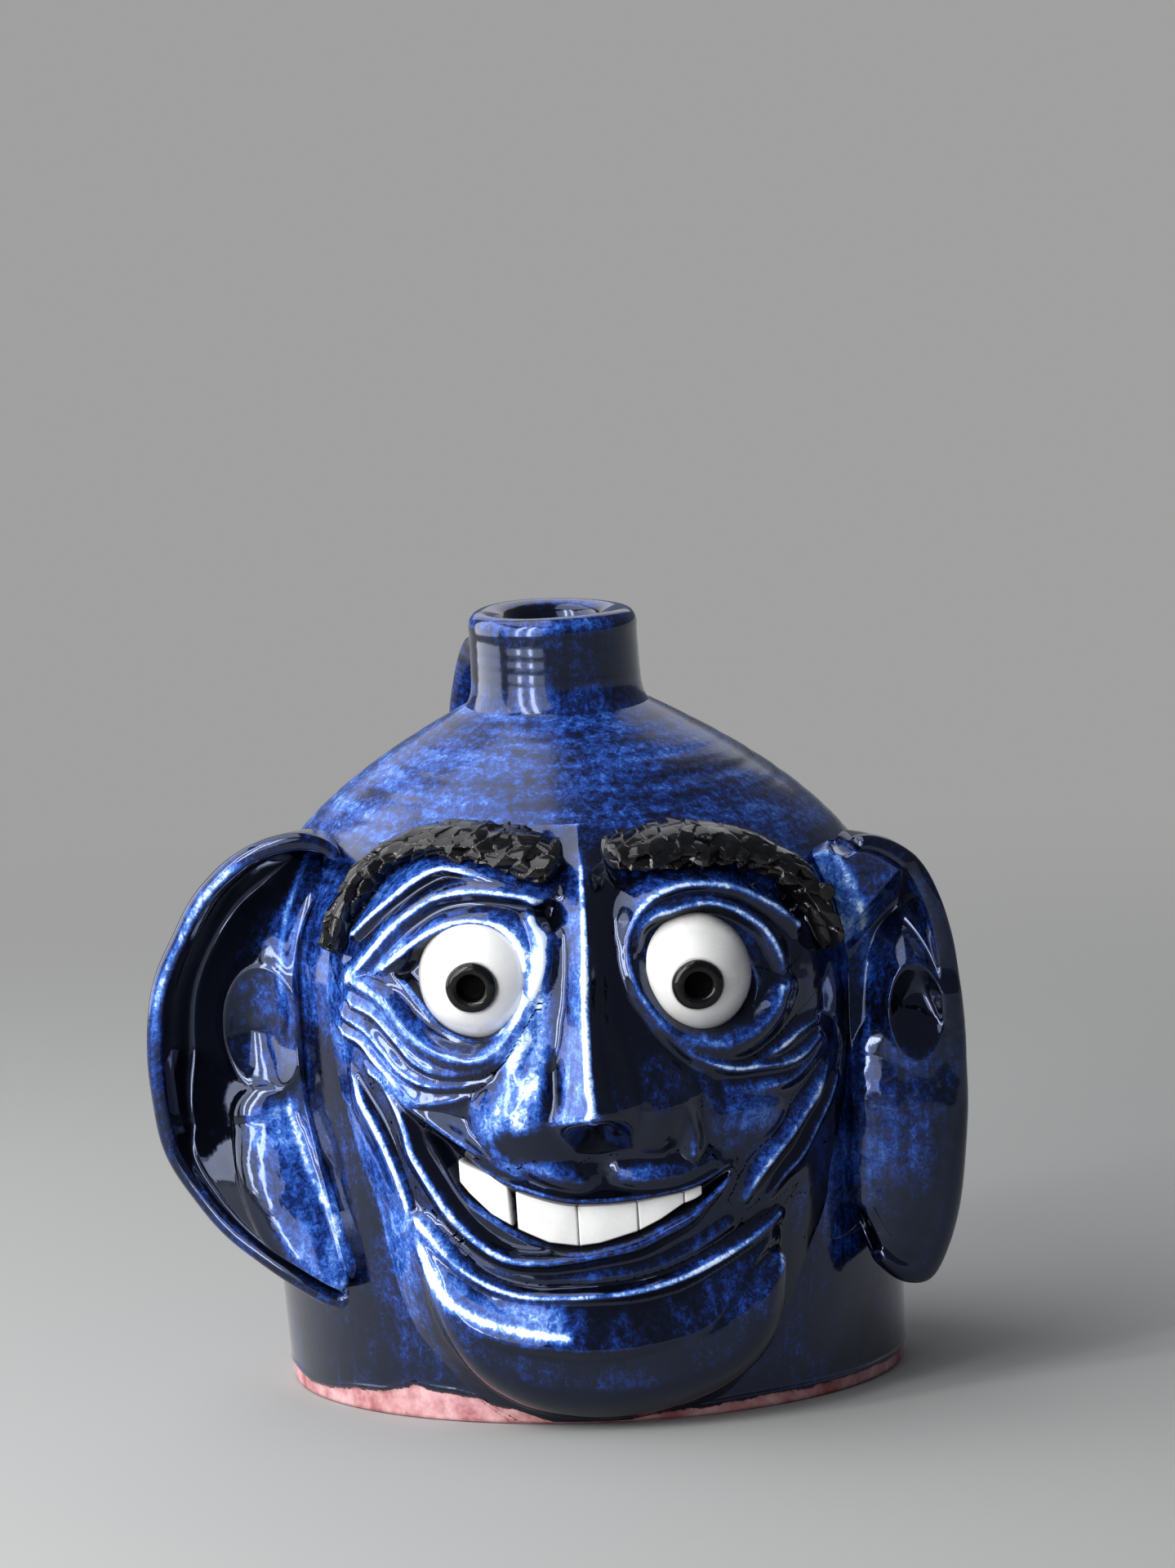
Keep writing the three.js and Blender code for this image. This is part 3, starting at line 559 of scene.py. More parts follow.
def thrown_body():
    """The thrown jug: flat foot, wall and dome outside, and the hollow inside with its bore."""
    columns = 288
    angle = turns(columns)
    walks = np.concatenate([np.arange(0, 10, 0.35), np.arange(10, TABLE_WALK[-1], 0.74)])
    outer_z = FOOT_BEVEL + height_at(walks) * (BODY_HEIGHT - FOOT_BEVEL) / BODY_HEIGHT
    a, z = np.meshgrid(angle, outer_z, indexing="ij")
    over = z - glaze_edge(a)
    bead = 0.35 / (1 + np.exp(-over / 0.12)) + 0.22 * bell(over - 0.5, 0.6) - 0.35
    off = thrown(a, z) + bead * climb(z, 12, -4)
    outside = on_wall(BELLY_RADIUS * a, z, off)
    for eye in EYES.values():
        near = np.linalg.norm(outside - eye_centre(eye), axis=-1)
        hollow = climb(near, EYE_RADIUS - 0.6, -0.8)
        socket = on_wall(BELLY_RADIUS * a, z, off - (EYE_SEAT + 0.4) * hollow)
        outside = np.where(hollow[..., None] > 0, socket, outside)

    def ring(r, height):
        return np.stack([r * np.sin(angle), -r * np.cos(angle), np.full(columns, height)], axis=-1)[:, None]

    foot = [ring(r, 0.0) for r in (24.0, 46.0, 60.0, FOOT_RADIUS - FOOT_BEVEL)]
    foot.append(ring(FOOT_RADIUS - 0.35, 0.4))
    top = [ring(r, BODY_HEIGHT) for r in (NECK_RADIUS - 2, NECK_RADIUS - 5, BORE_RADIUS)]
    top.append(ring(BORE_RADIUS, BODY_HEIGHT - WALL * 0.7))
    inner_z = height_at(np.linspace(walk_to(142.0), walk_to(FLOOR + WALL), 22))
    inside = [ring(max(BORE_RADIUS + 2, float(body_radius(h)) - WALL), h) for h in inner_z]
    inside.append(ring(FOOT_RADIUS - WALL - 1, FLOOR + 2.2))
    inside.append(ring(FOOT_RADIUS - WALL - 4, FLOOR))
    inside.append(ring(30.0, FLOOR))
    grid = np.concatenate([*foot, outside, *top, *inside], axis=1)
    first = len(foot)
    last = first + outside.shape[1]
    crest = grid_crests(grid, grid_normals(grid, wrap=True), spread=1.0)
    crest[:, : first + 24] *= 0.2
    crest[:, last - 6:] = 0
    bare = np.full(grid.shape[:2], GLAZED)
    bare[:, first:last] = over
    bare[:, :first] = UNGLAZED
    pool = np.zeros(grid.shape[:2])
    pool[:, last:] = 0.45
    # Paler on the dome, darker low down and beside the face's right, and darker as painted shade on the
    # dome's side turned from the lamps
    past_face = (a - BESIDE_FACE + np.pi) % (2 * np.pi) - np.pi
    lift = np.zeros(grid.shape[:2])
    lift[:, first:last] = (
        0.08 * climb(z, 112, 22) - 0.18 * climb(z, 62, -50) - 0.07 * np.sin(a) * climb(z, 100, 20)
        - 0.15 * bell(past_face, 0.17) * climb(z, 104, -20)
    )
    points = np.vstack([grid.reshape(-1, 3), [[0, 0, 0]], [[0, 0, FLOOR]]])
    values = {
        "crest": with_hubs(crest),
        "pool": with_hubs(pool, 0, 0.45),
        "lift": with_hubs(lift),
        "bare": with_hubs(bare, UNGLAZED, GLAZED),
        "turned": with_hubs(climb(grid[..., 2], 104, 18)),
    }
    faces = capped_faces(columns, grid.shape[1])
    make_piece("thrown_body", points, faces, THROWN_BLUE, ["jug_body"], values)


# Outline of the neck: [radius, height], up the outside, over the lip and down the bore
NECK_PROFILE = (
    (NECK_RADIUS + 5.4, 149.6), (NECK_RADIUS + 2.8, 151.5), (NECK_RADIUS + 1.2, 153.6),
    (NECK_RADIUS + 0.4, 156.2), (NECK_RADIUS + 0.15, 160), (NECK_RADIUS + 0.05, 165), (NECK_RADIUS, 168.6),
    (NECK_RADIUS + 0.1, 170.6), (NECK_RADIUS - 0.3, 172.3), (NECK_RADIUS - 1.6, NECK_TOP - 0.4),
    (NECK_RADIUS - 4.0, NECK_TOP - 0.1), (BORE_RADIUS + 1.6, NECK_TOP - 0.9),
    (BORE_RADIUS + 0.1, NECK_TOP - 2.8), (BORE_RADIUS - 0.2, NECK_TOP - 7),
    (BORE_RADIUS, BODY_HEIGHT + 4), (BORE_RADIUS, BODY_HEIGHT - 3),
)


def neck_collar():
    """The neck: a short thrown collar with a rolled lip, luted to the shoulder by a fillet of clay."""
    profile = smooth_path(NECK_PROFILE, 0.4)
    sides = 160
    a, r = np.meshgrid(turns(sides), profile[:, 0], indexing="ij")
    z = np.broadcast_to(profile[:, 1], r.shape)
    rings = 0.014 * np.sin(2 * np.pi * (z + 3 * a / (2 * np.pi)) / 3.0)
    r = r + climb(r, BORE_RADIUS + 4, 2) * (rings + 0.22 * np.sin(2 * a + 2) + 0.1 * np.sin(3 * a))
    z = z + 0.25 * np.sin(a * 2 + 0.4) * climb(z, 165, 8)
    grid = np.stack([r * np.sin(a), -r * np.cos(a), z], axis=-1)
    rows = grid.shape[1]
    faces = grid_faces(sides, rows, wrap=True)
    for k in range(sides):
        n = (k + 1) % sides
        faces.append((k * rows + rows - 1, n * rows + rows - 1, n * rows, k * rows))
    inside = (np.arange(rows) > np.argmax(profile[:, 1])) & (profile[:, 0] < BORE_RADIUS + 1.5)
    pool = np.where(inside[None, :], 0.4, 0.27 * climb(z, 157, 3) * climb(z, 171.4, -2))
    values = {
        "crest": grid_crests(grid, grid_normals(grid, wrap=True), spread=1.1).ravel(),
        "pool": pool.ravel(),
        "bare": np.full(pool.size, GLAZED),
        "turned": np.full(pool.size, 0.35),
    }
    make_piece("neck_collar_glazed", grid.reshape(-1, 3), faces, BLUE, ["neck_collar"], values)


def strap_handle():
    """The pulled strap: an oval with finger grooves along it, spread and pressed on at both ends."""
    top = BODY_HEIGHT + NECK_HEIGHT * 0.36
    foot = BODY_HEIGHT - HANDLE_DROP
    wall = float(body_radius(foot))
    reach = wall - NECK_RADIUS
    route = smooth_path(
        [
            (NECK_RADIUS - 4, top - 1), (NECK_RADIUS + 0.28 * reach, top + 2.4),
            (NECK_RADIUS + 0.62 * reach, top - 2), (NECK_RADIUS + 0.86 * reach, top - 14),
            (wall - 2, top - 27), (wall - 3, foot), (wall - 8, foot - 6),
        ],
        0.9,
    )
    share = walked(route) / walked(route)[-1]
    tangent = directions(route)
    sides = 72
    turn = turns(sides)
    waist = 1 - 0.14 * np.sin(np.pi * share) + 0.28 * bell(1 - share, 0.12) + 0.2 * bell(share, 0.1)
    swollen = 1 + 0.25 * bell(share, 0.1)
    rings = []
    for k, (r, z) in enumerate(route):
        flat = HANDLE_WIDTH / 2 * waist[k] * np.cos(turn)
        groove = 0.45 * np.cos(flat * 2 * np.pi / GROOVE_PITCH) * np.sin(turn) ** 2
        thick = (HANDLE_THICKNESS / 2 + groove) * np.sin(turn) * swollen[k]
        lumps = ripple(flat + 40 * share[k], np.full(sides, 90 * share[k]), 7, 5)
        thick = thick + 0.2 * lumps * np.sign(thick)
        rings.append(np.stack([r - tangent[k, 1] * thick, flat, z + tangent[k, 0] * thick], axis=1))
    rings = np.array(rings)
    turned = math.radians(90 + HANDLE_AZIMUTH)
    c, s = math.cos(turned), math.sin(turned)
    x, y = rings[..., 0].copy(), rings[..., 1].copy()
    rings[..., 0] = c * x - s * y
    rings[..., 1] = s * x + c * y
    values = {"bare": GLAZED, "pool": 0.08, "lift": 0.0}
    make_tube("pulled_strap_handle", rings, BLUE, ["strap_handle"], values)


# Face: one skin worked out as a height over the wall, then cut into the pieces of clay it is made of

CELL = 0.45
FACE_ACROSS = (-76.0, 79.0)
FACE_WALK = (0.9, 172.0)
EVERYWHERE = (slice(None), slice(None))
BLEND = 0.42
REACH = 13.0
ROUNDER = 1.9
SUNK = -0.9
SWELL_LIMIT = 7

# Outline of the swollen clay in the front view: from it outwards the skin sinks into the wall
SWELL_EDGE = (
    (-57.5, 100), (-57.5, 88), (-56, 76), (-53, 62), (-48.5, 46), (-43, 28), (-33, 9), (-16, -3), (0, -5),
    (16, -3), (33, 5), (45, 20), (53, 38), (58.5, 56), (62, 72), (62.5, 88), (61, 102), (57.5, 113),
    (51, 123.5), (41, 130), (29, 133), (14, 134), (0, 133.5), (-14, 134.5), (-28, 134), (-38, 130.5),
    (-47, 123), (-53.5, 113),
)

# How high the clay swells between its ridges: [x, z, height] in the front view
SWELL = (
    (-46, 100, 3.2), (-38, 116, 4.4), (-23, 124, 4.6), (-8, 126, 3.0), (3, 129, 1.2), (3, 116, 3.6),
    (-10, 108, 5.0), (-10, 92, 5.8), (-23, 101, 3.0), (-45, 84, 3.8), (-31, 76, 5.0), (-17, 80, 5.6),
    (-26, 68, 5.4), (-43, 62, 3.6), (2, 60, 5.6), (-30, 52, 5.4), (2, 46, 5.8), (28, 52, 5.4),
    (-20, 35, 5.8), (2, 27, 6.4), (24, 36, 5.6), (-2, 14, 6.5), (-22, 18, 4.5), (18, 17, 4.5),
    (12, 106, 4.8), (14, 89, 6.8), (16, 82, 7.0), (-11, 87, 6.4), (30, 101, 3.0), (22, 78, 4.6),
    (30, 124, 4.4), (46, 114, 4.0), (51, 98, 3.0), (50, 85, 4.2), (36, 70, 6.2), (49, 65, 3.6),
    (19, 92, 4.8), (-39, 34, 2.6), (41, 38, 2.6),
)

# Ridges of clay: the piece they belong to, [x, z, height] along the crest in the front view, how steeply they
# fall to the left and to the right of the way the path runs, and how round the crest is
RIDGES = (
    ("right_upper_lid", (
        (-42.4, 103.6, 4.6), (-35.2, 109.6, 6.6), (-28, 113.7, 7.5), (-21.6, 114.8, 7.8),
        (-15.9, 113.6, 7.6), (-11.7, 109.4, 6.8), (-10.4, 104, 5.8),
    ), (1.0, 2.2), 0.45),
    ("right_upper_lid", (
        (-50.4, 99.8, 4.0), (-44, 108.3, 6.2), (-37.8, 114.6, 7.6), (-30.5, 119.2, 8.3),
        (-23.5, 120.9, 8.6), (-16.6, 120.8, 8.2), (-10.3, 119.7, 7.4), (-6.9, 118.1, 6.4),
    ), (1.0, 1.3), 0.4),
    ("right_upper_lid", (
        (-48.6, 110.5, 4.4), (-41.1, 117.6, 6.8), (-34.4, 122.6, 7.8), (-27.9, 125.3, 8.2),
        (-20.4, 124.1, 8.0), (-13, 122.1, 6.8),
    ), (0.9, 1.6), 0.4),
    ("right_upper_lid", (
        (-8.2, 114.6, 6.4), (-6.7, 110.9, 7.4), (-6.7, 105.7, 7.4), (-8.3, 100.4, 6.8), (-10.4, 96.8, 5.6),
    ), (1.6, 1.2), 0.5),
    ("right_lower_lid", (
        (-50.2, 101, 4.6), (-43.5, 97.1, 6.4), (-39.8, 92.1, 7.0), (-35.4, 87.7, 7.5), (-29.8, 84.7, 7.8),
        (-23.5, 84, 7.8), (-18.2, 86.4, 7.4), (-13.8, 91.6, 6.8), (-11, 97.6, 6.0),
    ), (1.6, 1.2), 0.9),
    ("right_lower_lid", (
        (-50.1, 94.8, 4.2), (-45.2, 92.9, 5.8), (-40.7, 88, 6.6), (-36.9, 83.5, 7.0), (-31.2, 80.9, 7.2),
        (-23.7, 81.2, 7.2), (-18.9, 83.3, 6.8), (-13.4, 88.4, 6.4), (-10.2, 94.4, 6.0),
    ), (0.75, 1.8), 0.35),
    ("right_cheek", (
        (-52, 91.8, 3.8), (-47.5, 89.5, 5.6), (-43.7, 85.2, 6.4), (-39.9, 80.8, 6.8), (-34.3, 78.2, 7.0),
        (-27.3, 78.1, 7.0), (-21.5, 79.2, 6.6), (-17.6, 81.4, 5.6),
    ), (0.7, 1.9), 0.35),
    ("right_cheek", (
        (-52.4, 88, 3.6), (-48.6, 86.6, 5.2), (-45.9, 83.1, 6.0), (-42.6, 79.5, 6.4), (-39.5, 76.3, 6.8),
        (-36.2, 73.9, 7.0), (-31.1, 74.4, 6.8), (-26, 75.6, 6.4), (-22.5, 76.4, 5.4),
    ), (0.7, 1.8), 0.35),
    ("upper_lip", (
        (-46.8, 79.8, 4.8), (-42.2, 77.2, 6.0), (-38.3, 72.8, 6.8), (-34.6, 70.4, 7.4), (-30.2, 67.4, 7.8),
        (-25, 64, 7.8), (-20.4, 60.8, 7.6), (-16, 58.3, 7.4),
    ), (0.8, 1.9), 0.4),
    ("upper_lip", (
        (-17.4, 64.2, 6.2), (-12, 61, 7.8), (-6.4, 58.3, 8.4), (-1.6, 56.8, 7.8), (0.6, 57.8, 6.6),
    ), (0.9, 1.2), 1.3),
    ("upper_lip", (
        (7.4, 58.2, 6.4), (11, 57, 7.8), (16.6, 56.6, 8.2), (22, 57.3, 7.8), (28.4, 59.2, 6.6),
        (32.5, 60.8, 5.4),
    ), (0.9, 1.3), 1.2),
    ("upper_lip", (
        (-24.4, 61.4, 6.6), (-18, 57, 7.4), (-12.8, 54.9, 7.8), (-4.6, 52.7, 8.0), (4, 52.1, 8.0),
        (13.5, 52.7, 8.0), (21.8, 53.9, 7.6), (28, 56, 7.0), (32.6, 58, 6.0),
    ), (1.5, 1.9), 0.4),
    ("right_smile_fold", (
        (-50.6, 78.4, 3.6), (-49.6, 73.6, 5.4), (-47.5, 69.4, 6.2), (-45.1, 64.2, 6.4), (-42.8, 57.8, 6.2),
        (-40.6, 50.6, 6.0), (-39.4, 46.9, 5.4),
    ), (2.2, 0.8), 0.35),
    ("lower_lip", (
        (-45.4, 79.4, 4.6), (-43.2, 76.1, 6.0), (-41.1, 71.8, 7.0), (-39.7, 67.5, 7.6), (-38.7, 62.7, 8.0),
        (-36.1, 57.6, 8.3), (-31.2, 49.6, 8.7), (-25.3, 43.3, 8.9), (-18.7, 39.4, 9.1), (-11.3, 38.6, 9.1),
        (-4, 39.1, 9.1), (1.5, 40, 9.1), (10.1, 41.4, 9.0), (16.6, 44, 8.8), (22.8, 46.9, 8.4),
        (26.4, 50.4, 7.8), (30.1, 53.7, 7.0), (31.9, 56.6, 6.0),
    ), (1.6, 1.5), 0.4),
    ("lower_lip", (
        (-33.6, 45.6, 5.8), (-24.6, 38.2, 6.9), (-14, 34.9, 7.2), (-2, 34.7, 7.2), (10, 35.6, 7.2),
        (20, 38.4, 6.9), (31, 44, 6.0),
    ), (1.0, 1.0), 0.5),
    ("chin_fold", (
        (-39, 48.6, 5.6), (-38.4, 46.9, 7.4), (-35.4, 43.4, 8.6), (-31, 38.4, 9.2), (-25.8, 34.7, 9.5),
        (-20.7, 32.4, 9.6), (-15, 31, 9.7), (-7.6, 30.6, 9.7), (0.4, 30.8, 9.7), (8.4, 31.3, 9.7),
        (16.5, 32.9, 9.6), (24.6, 35.4, 9.2), (32.8, 38.9, 8.4), (38.9, 42.2, 7.0), (42.6, 44.8, 5.0),
    ), (1.5, 1.2), 0.35),
    ("chin", (
        (-38.6, 45.6, 6.2), (-36.4, 41, 8.2), (-32.7, 35.8, 9.4), (-28.8, 31.6, 10.0), (-22.7, 27.9, 10.3),
        (-15.4, 25.3, 10.5), (-8.1, 23.6, 10.7), (-2.7, 22.5, 10.8), (4, 22.4, 10.2),
    ), (1.7, 0.5), 0.3),
    ("chin", (
        (-39.3, 46.4, 5.6), (-37.4, 42, 8.2), (-34.6, 35.9, 10.2), (-32.3, 29.9, 11.4), (-28.8, 25.3, 12.2),
        (-24.1, 22.7, 12.8), (-17.8, 21.1, 13.2), (-10.8, 20.2, 13.5), (-4, 19.4, 13.5), (7.1, 19.3, 13.0),
        (16.2, 20.5, 12.2), (22.7, 22.2, 11.6), (27, 25, 11.2), (31, 29.4, 10.4), (35.6, 34.8, 8.8),
        (39.8, 40, 6.6),
    ), (0.55, 1.0), 0.5),
    ("left_upper_lid", (
        (14.2, 107.4, 5.2), (15.6, 112.2, 6.8), (18.8, 114.6, 7.5), (22.9, 115.5, 7.9), (26.9, 116.2, 8.0),
        (31.7, 116.2, 8.0), (36.3, 114.7, 7.8), (40.4, 112, 7.4), (43.9, 108.6, 7.0), (46.2, 104, 6.2),
        (46.9, 98.6, 4.6),
    ), (1.0, 2.0), 0.55),
    ("left_upper_lid", (
        (12.6, 106, 5.4), (13.2, 111, 6.8), (15.4, 115.5, 7.8), (18.3, 118.1, 8.2), (22.1, 119.7, 8.4),
        (26.3, 120.5, 8.5), (31, 120.2, 8.5), (35.9, 119.1, 8.3), (39.6, 117.7, 8.0), (43.5, 115.4, 7.6),
        (47, 112.9, 7.0), (50.8, 109, 5.8),
    ), (1.2, 1.2), 0.4),
    ("left_lower_lid", (
        (14, 104.8, 5.4), (15.2, 98, 6.4), (19.4, 91.2, 7.2), (24.2, 87.4, 7.7), (28.8, 85.7, 7.9),
        (33.7, 85.1, 8.0), (37.8, 86.1, 7.9), (41.8, 88.4, 7.7), (45.1, 91.6, 7.2), (47, 95.4, 6.6),
    ), (1.9, 0.9), 1.0),
    ("left_lower_lid", (
        (12.4, 110, 5.6), (12.6, 104.8, 6.6), (14, 99.2, 7.0), (16.3, 94.8, 7.2), (19.3, 90.4, 7.4),
        (22.7, 86.2, 7.4), (26.3, 83.2, 7.4), (31.4, 80.6, 7.3), (36.1, 79.3, 7.2), (41.2, 79.2, 7.0),
        (46.7, 79, 6.6), (50.6, 80.2, 6.0), (54, 83.2, 4.8),
    ), (1.4, 1.3), 0.35),
    ("left_cheek", (
        (39.6, 79.9, 6.2), (45.5, 82.7, 6.4), (49.5, 85.3, 5.8), (53.6, 87, 4.4),
    ), (1.2, 1.3), 0.3),
    ("left_cheek", (
        (33, 75, 6.2), (37.3, 74.4, 7.0), (44.5, 74.6, 6.8), (49.9, 76.8, 5.8), (54.6, 81.6, 4.2),
    ), (1.0, 1.1), 0.4),
    ("left_cheek", ((26.6, 80.6, 6.0), (27.6, 74, 6.6), (30, 68, 7.0), (33, 63.4, 6.6)), (0.8, 0.8), 1.6),
    ("left_cheek", ((25.3, 62.6, 6.0), (29.8, 58.6, 6.6), (33, 57.4, 5.6)), (1.2, 1.2), 0.4),
    ("left_smile_fold", (
        (55, 75.6, 4.2), (53, 70.8, 6.2), (49.8, 67, 7.0), (46.1, 62.6, 7.4), (42.2, 58.3, 7.4),
        (38.4, 54, 7.0), (35.2, 49.6, 5.8),
    ), (1.5, 1.3), 0.6),
    ("left_smile_fold", (
        (57.4, 73, 2.8), (55, 67.6, 4.4), (51.6, 61.9, 5.4), (48.4, 57.2, 5.6), (44.4, 53.6, 5.6),
        (40.4, 49.4, 4.8),
    ), (1.3, 1.2), 0.35),
    ("nose", (
        (-9.6, 93, 6.2), (-11.2, 89.5, 7.0), (-14, 83.7, 7.6), (-16.6, 77.2, 8.0), (-18.9, 71.9, 8.4),
        (-19.8, 68.2, 8.4), (-18.8, 63.3, 8.0), (-16.4, 59.6, 7.2),
    ), (1.3, 1.0), 0.5),
    ("nose", ((-9.0, 82, 7.4), (-10.4, 77, 9.8), (-12.0, 71.8, 11.4)), (0.75, 0.75), 4.4),
    ("nose", (
        (6.4, 114, 5.2), (5.8, 104, 7.0), (5.2, 96, 8.8), (5.0, 90, 10.6), (6.2, 83, 13.0), (7.4, 77, 15.0),
        (8.8, 73.8, 15.2),
    ), (1.0, 1.0), 0.3),
    ("nose", ((12.6, 88, 7.4), (14.4, 82, 9.6), (16.0, 77, 11.6), (17.2, 72.8, 12.4)), (0.9, 0.8), 2.2),
    ("nose", (
        (17.0, 81.6, 7.4), (19.2, 77.4, 8.6), (21.6, 73.6, 9.4), (23.6, 69.4, 9.4), (24.4, 64, 8.8),
        (23.9, 58.6, 7.0),
    ), (1.1, 1.7), 0.5),
)

# Rounded lumps: the piece, the middle in the front view, the half sizes and the height
LUMPS = (
    ("left_cheek", (37.0, 68.6), (12.0, 8.6), 8.0),
    ("right_cheek", (-33.0, 74.0), (13.0, 7.0), 6.0),
)

# Dents pressed into the skin: the middle in the front view, the half sizes and the depth
DENTS = (
    ((-4.9, 115.4), (3.0, 3.6), 4.0),
    ((-5.3, 79.0), (1.5, 5.6), 1.1),
    ((3.6, 59.6), (2.8, 4.0), 0.8),
)
SMOOTHED_WING = ((-20, 68), (-14.6, 80))

# Bands along paths that make the glaze paler (above 0) or darker (below 0): [x, z] along it, half width and
# how much.
# Partly glaze that ran and pooled, partly painted light and shade: painted reflection on planes beside and on
# the nose and on the chin's shelf, painted highlight along the crests of the nose and chin, and painted shade
# under the nose, in the philtrum and the mouth's corner, under the lips and chin, and on flanks turned from
# the lamps
RUNS_AND_PAINTED_LIGHT_SHADE = (
    (((-37, 41), (-33.5, 34), (-29, 29.2), (-23, 25.8), (-15, 23.6), (-6, 22.2)), 1.1, 0.85),
    (((-36, 46), (-31, 38), (-25, 32), (-17, 28.6), (-9, 27)), 3.4, 0.4),
    (((30, 86), (38, 80), (44, 73), (40, 66)), 7.0, 0.18),
    (((14, 86), (21, 80)), 4.5, 0.14),
    (((-13, 109), (-11, 101), (-12, 92), (-14.4, 86)), 4.2, 0.45),
    (((-8.0, 107), (-7.6, 98), (-7.4, 90), (-8.4, 84), (-10.4, 78)), 2.3, 0.5),
    (((-15, 82), (-13.4, 76), (-13, 71)), 2.6, 0.24),
    (((-47, 84), (-38, 78), (-30, 74)), 6.5, 0.12),
    (((8, 70.5), (16, 70)), 3.0, -0.2),
    (((1.4, 114), (0.6, 102), (-0.6, 92), (-2.2, 82), (-3.4, 73)), 2.4, 0.2),
    (((-12.4, 71.2), (-9.6, 80)), 3.4, 0.26),
    (((-52, 98), (-46, 103.6), (-39, 109)), 3.2, 0.26),
    (((-48, 97), (-42, 91), (-36, 86.5), (-28, 84), (-20, 85)), 2.2, 0.16),
    (((-50, 88), (-45, 82), (-40, 76), (-34, 71.5), (-27, 67)), 2.6, 0.14),
    (((-11.2, 89.5), (-14, 83.7), (-16.6, 77.2), (-18.9, 71.9), (-19.8, 68.2), (-18.8, 63.3)), 1.8, 0.26),
    (((-46, 118), (-38, 124), (-28, 126.5)), 2.4, 0.14),
    (((-17, 59.8), (-11, 58.8), (-5, 57.6)), 3.2, 0.36),
    (((8, 57.4), (14, 58.4)), 2.6, 0.34),
    (((2.6, 67), (2.8, 57)), 3.2, -0.42),
    (((-18, 65.6), (-6, 66.4), (8, 68), (21, 65.6)), 2.6, -0.5),
    (((-36, 70), (-31, 60), (-27, 55)), 3.0, -0.4),
    (((-28, 47), (-18, 42.2), (-8, 40.4), (2, 40.2), (12, 42.4), (22, 47)), 2.0, -0.22),
    (((-4, 16.5), (7, 16.6), (16, 18.5)), 2.6, -0.26),
    (((26, 27), (34, 37), (41, 48), (47, 58)), 6.0, -0.16),
    (((9, 122), (10, 110), (11, 98), (12, 88)), 3.4, -0.22),
    (((-38, 46), (-32, 39), (-24, 34.2), (-12, 32.4), (4, 32.2), (20, 35)), 1.4, -0.25),
)

# Nose, from the top down: z, the x of its left foot, ridge and right foot, and the share of NOSE_HEIGHT
NOSE_STATIONS = (
    (133, 0.6, 2.8, 5.0, 0.03), (129, -0.6, 2.9, 6.6, 0.14), (126, -1.2, 3.0, 7.6, 0.25),
    (122, -1.8, 3.0, 8.4, 0.35), (110, -3.2, 2.9, 9.2, 0.49), (98, -5.0, 2.3, 10.0, 0.62),
    (87, -8.4, 2.0, 12.6, 0.78), (80, -11.6, 2.0, 16, 0.92), (76, -14.2, 2.3, 19, 1.0),
    (73, -16.2, 2.3, 21.4, 1.03), (71.2, -16.8, 2.4, 22.4, 0.93), (69, -17, 2.6, 23, 0.76),
    (66.4, -16.8, 2.8, 22.8, 0.57), (63.8, -16, 2.8, 22, 0.38), (61.4, -15, 2.8, 21, 0.18),
)

# Outlines of the hollows and of the chin, as [x, z] in the front view
EYE_SLITS = (
    (
        (-41.6, 102.3), (-35.3, 107.9), (-28.1, 112), (-21.7, 113.2), (-16.6, 111.6), (-12.8, 106.7),
        (-11.8, 101), (-12.7, 95.9), (-17.9, 90.1), (-23.3, 88), (-30.6, 90.4), (-35.5, 95.5), (-39, 100),
    ),
    (
        (16.3, 103.2), (20.4, 108.5), (27, 112.2), (32.8, 111.4), (39.3, 104.7), (42.4, 97.5), (40.3, 92.1),
        (34.2, 88.8), (27.3, 89), (21.7, 93.1), (18, 98.5),
    ),
)
MOUTH = (
    (-35.8, 69), (-30.3, 64.8), (-24.7, 59.9), (-20.1, 56), (-14.5, 53.2), (-5.9, 50.8), (3.8, 50.3),
    (13.5, 51), (21.4, 52.1), (26, 53.4), (32.4, 56.8), (29.8, 53.6), (24.2, 49.8), (18.3, 47.4),
    (11.2, 44.3), (4.8, 42.6), (-2.5, 41.5), (-9.3, 42.4), (-15.9, 45), (-21.5, 48.6), (-27.1, 52.8),
    (-31.3, 59.2), (-34.9, 66),
)
CHIN_EDGE = (
    (-39.4, 45), (-38.2, 34.7), (-35.3, 23.7), (-31.3, 15.5), (-26.2, 9.7), (-18.8, 5.2), (-10.2, 2.6),
    (0.6, 1.6), (11.5, 2.2), (20.8, 4.0), (28.3, 6.6), (35.9, 11.4), (40.9, 18.1), (43.3, 27.1), (43, 37),
    (34, 37), (20, 29), (0, 25), (-20, 30), (-33, 38),
)


def thin_plate(places, values, columns, rows):
    """A smooth sheet through a few heights, on the face's grid."""
    scale = 60.0
    give = 2e-4
    p = np.asarray(places) / scale
    far = np.linalg.norm(p[:, None] - p[None], axis=2)
    kernel = np.where(far > 0, far**2 * np.log(np.maximum(far, 1e-9)), 0) + give * np.eye(len(p))
    flat = np.hstack([np.ones((len(p), 1)), p])
    system = np.block([[kernel, flat], [flat.T, np.zeros((3, 3))]])
    solved = np.linalg.solve(system, np.concatenate([values, np.zeros(3)]))
    a, b = columns / scale, rows / scale
    total = solved[-3] + solved[-2] * a + solved[-1] * b
    for (x, y), weight in zip(p, solved):
        r2 = np.maximum((a - x) ** 2 + (b - y) ** 2, 1e-12)
        total = total + weight * 0.5 * r2 * np.log(r2)
    return total


def wall_place(x, z, off):
    """A front-view point as distances round and up the wall."""
    return float(across_of(x, z, off)), float(walk_to(z))


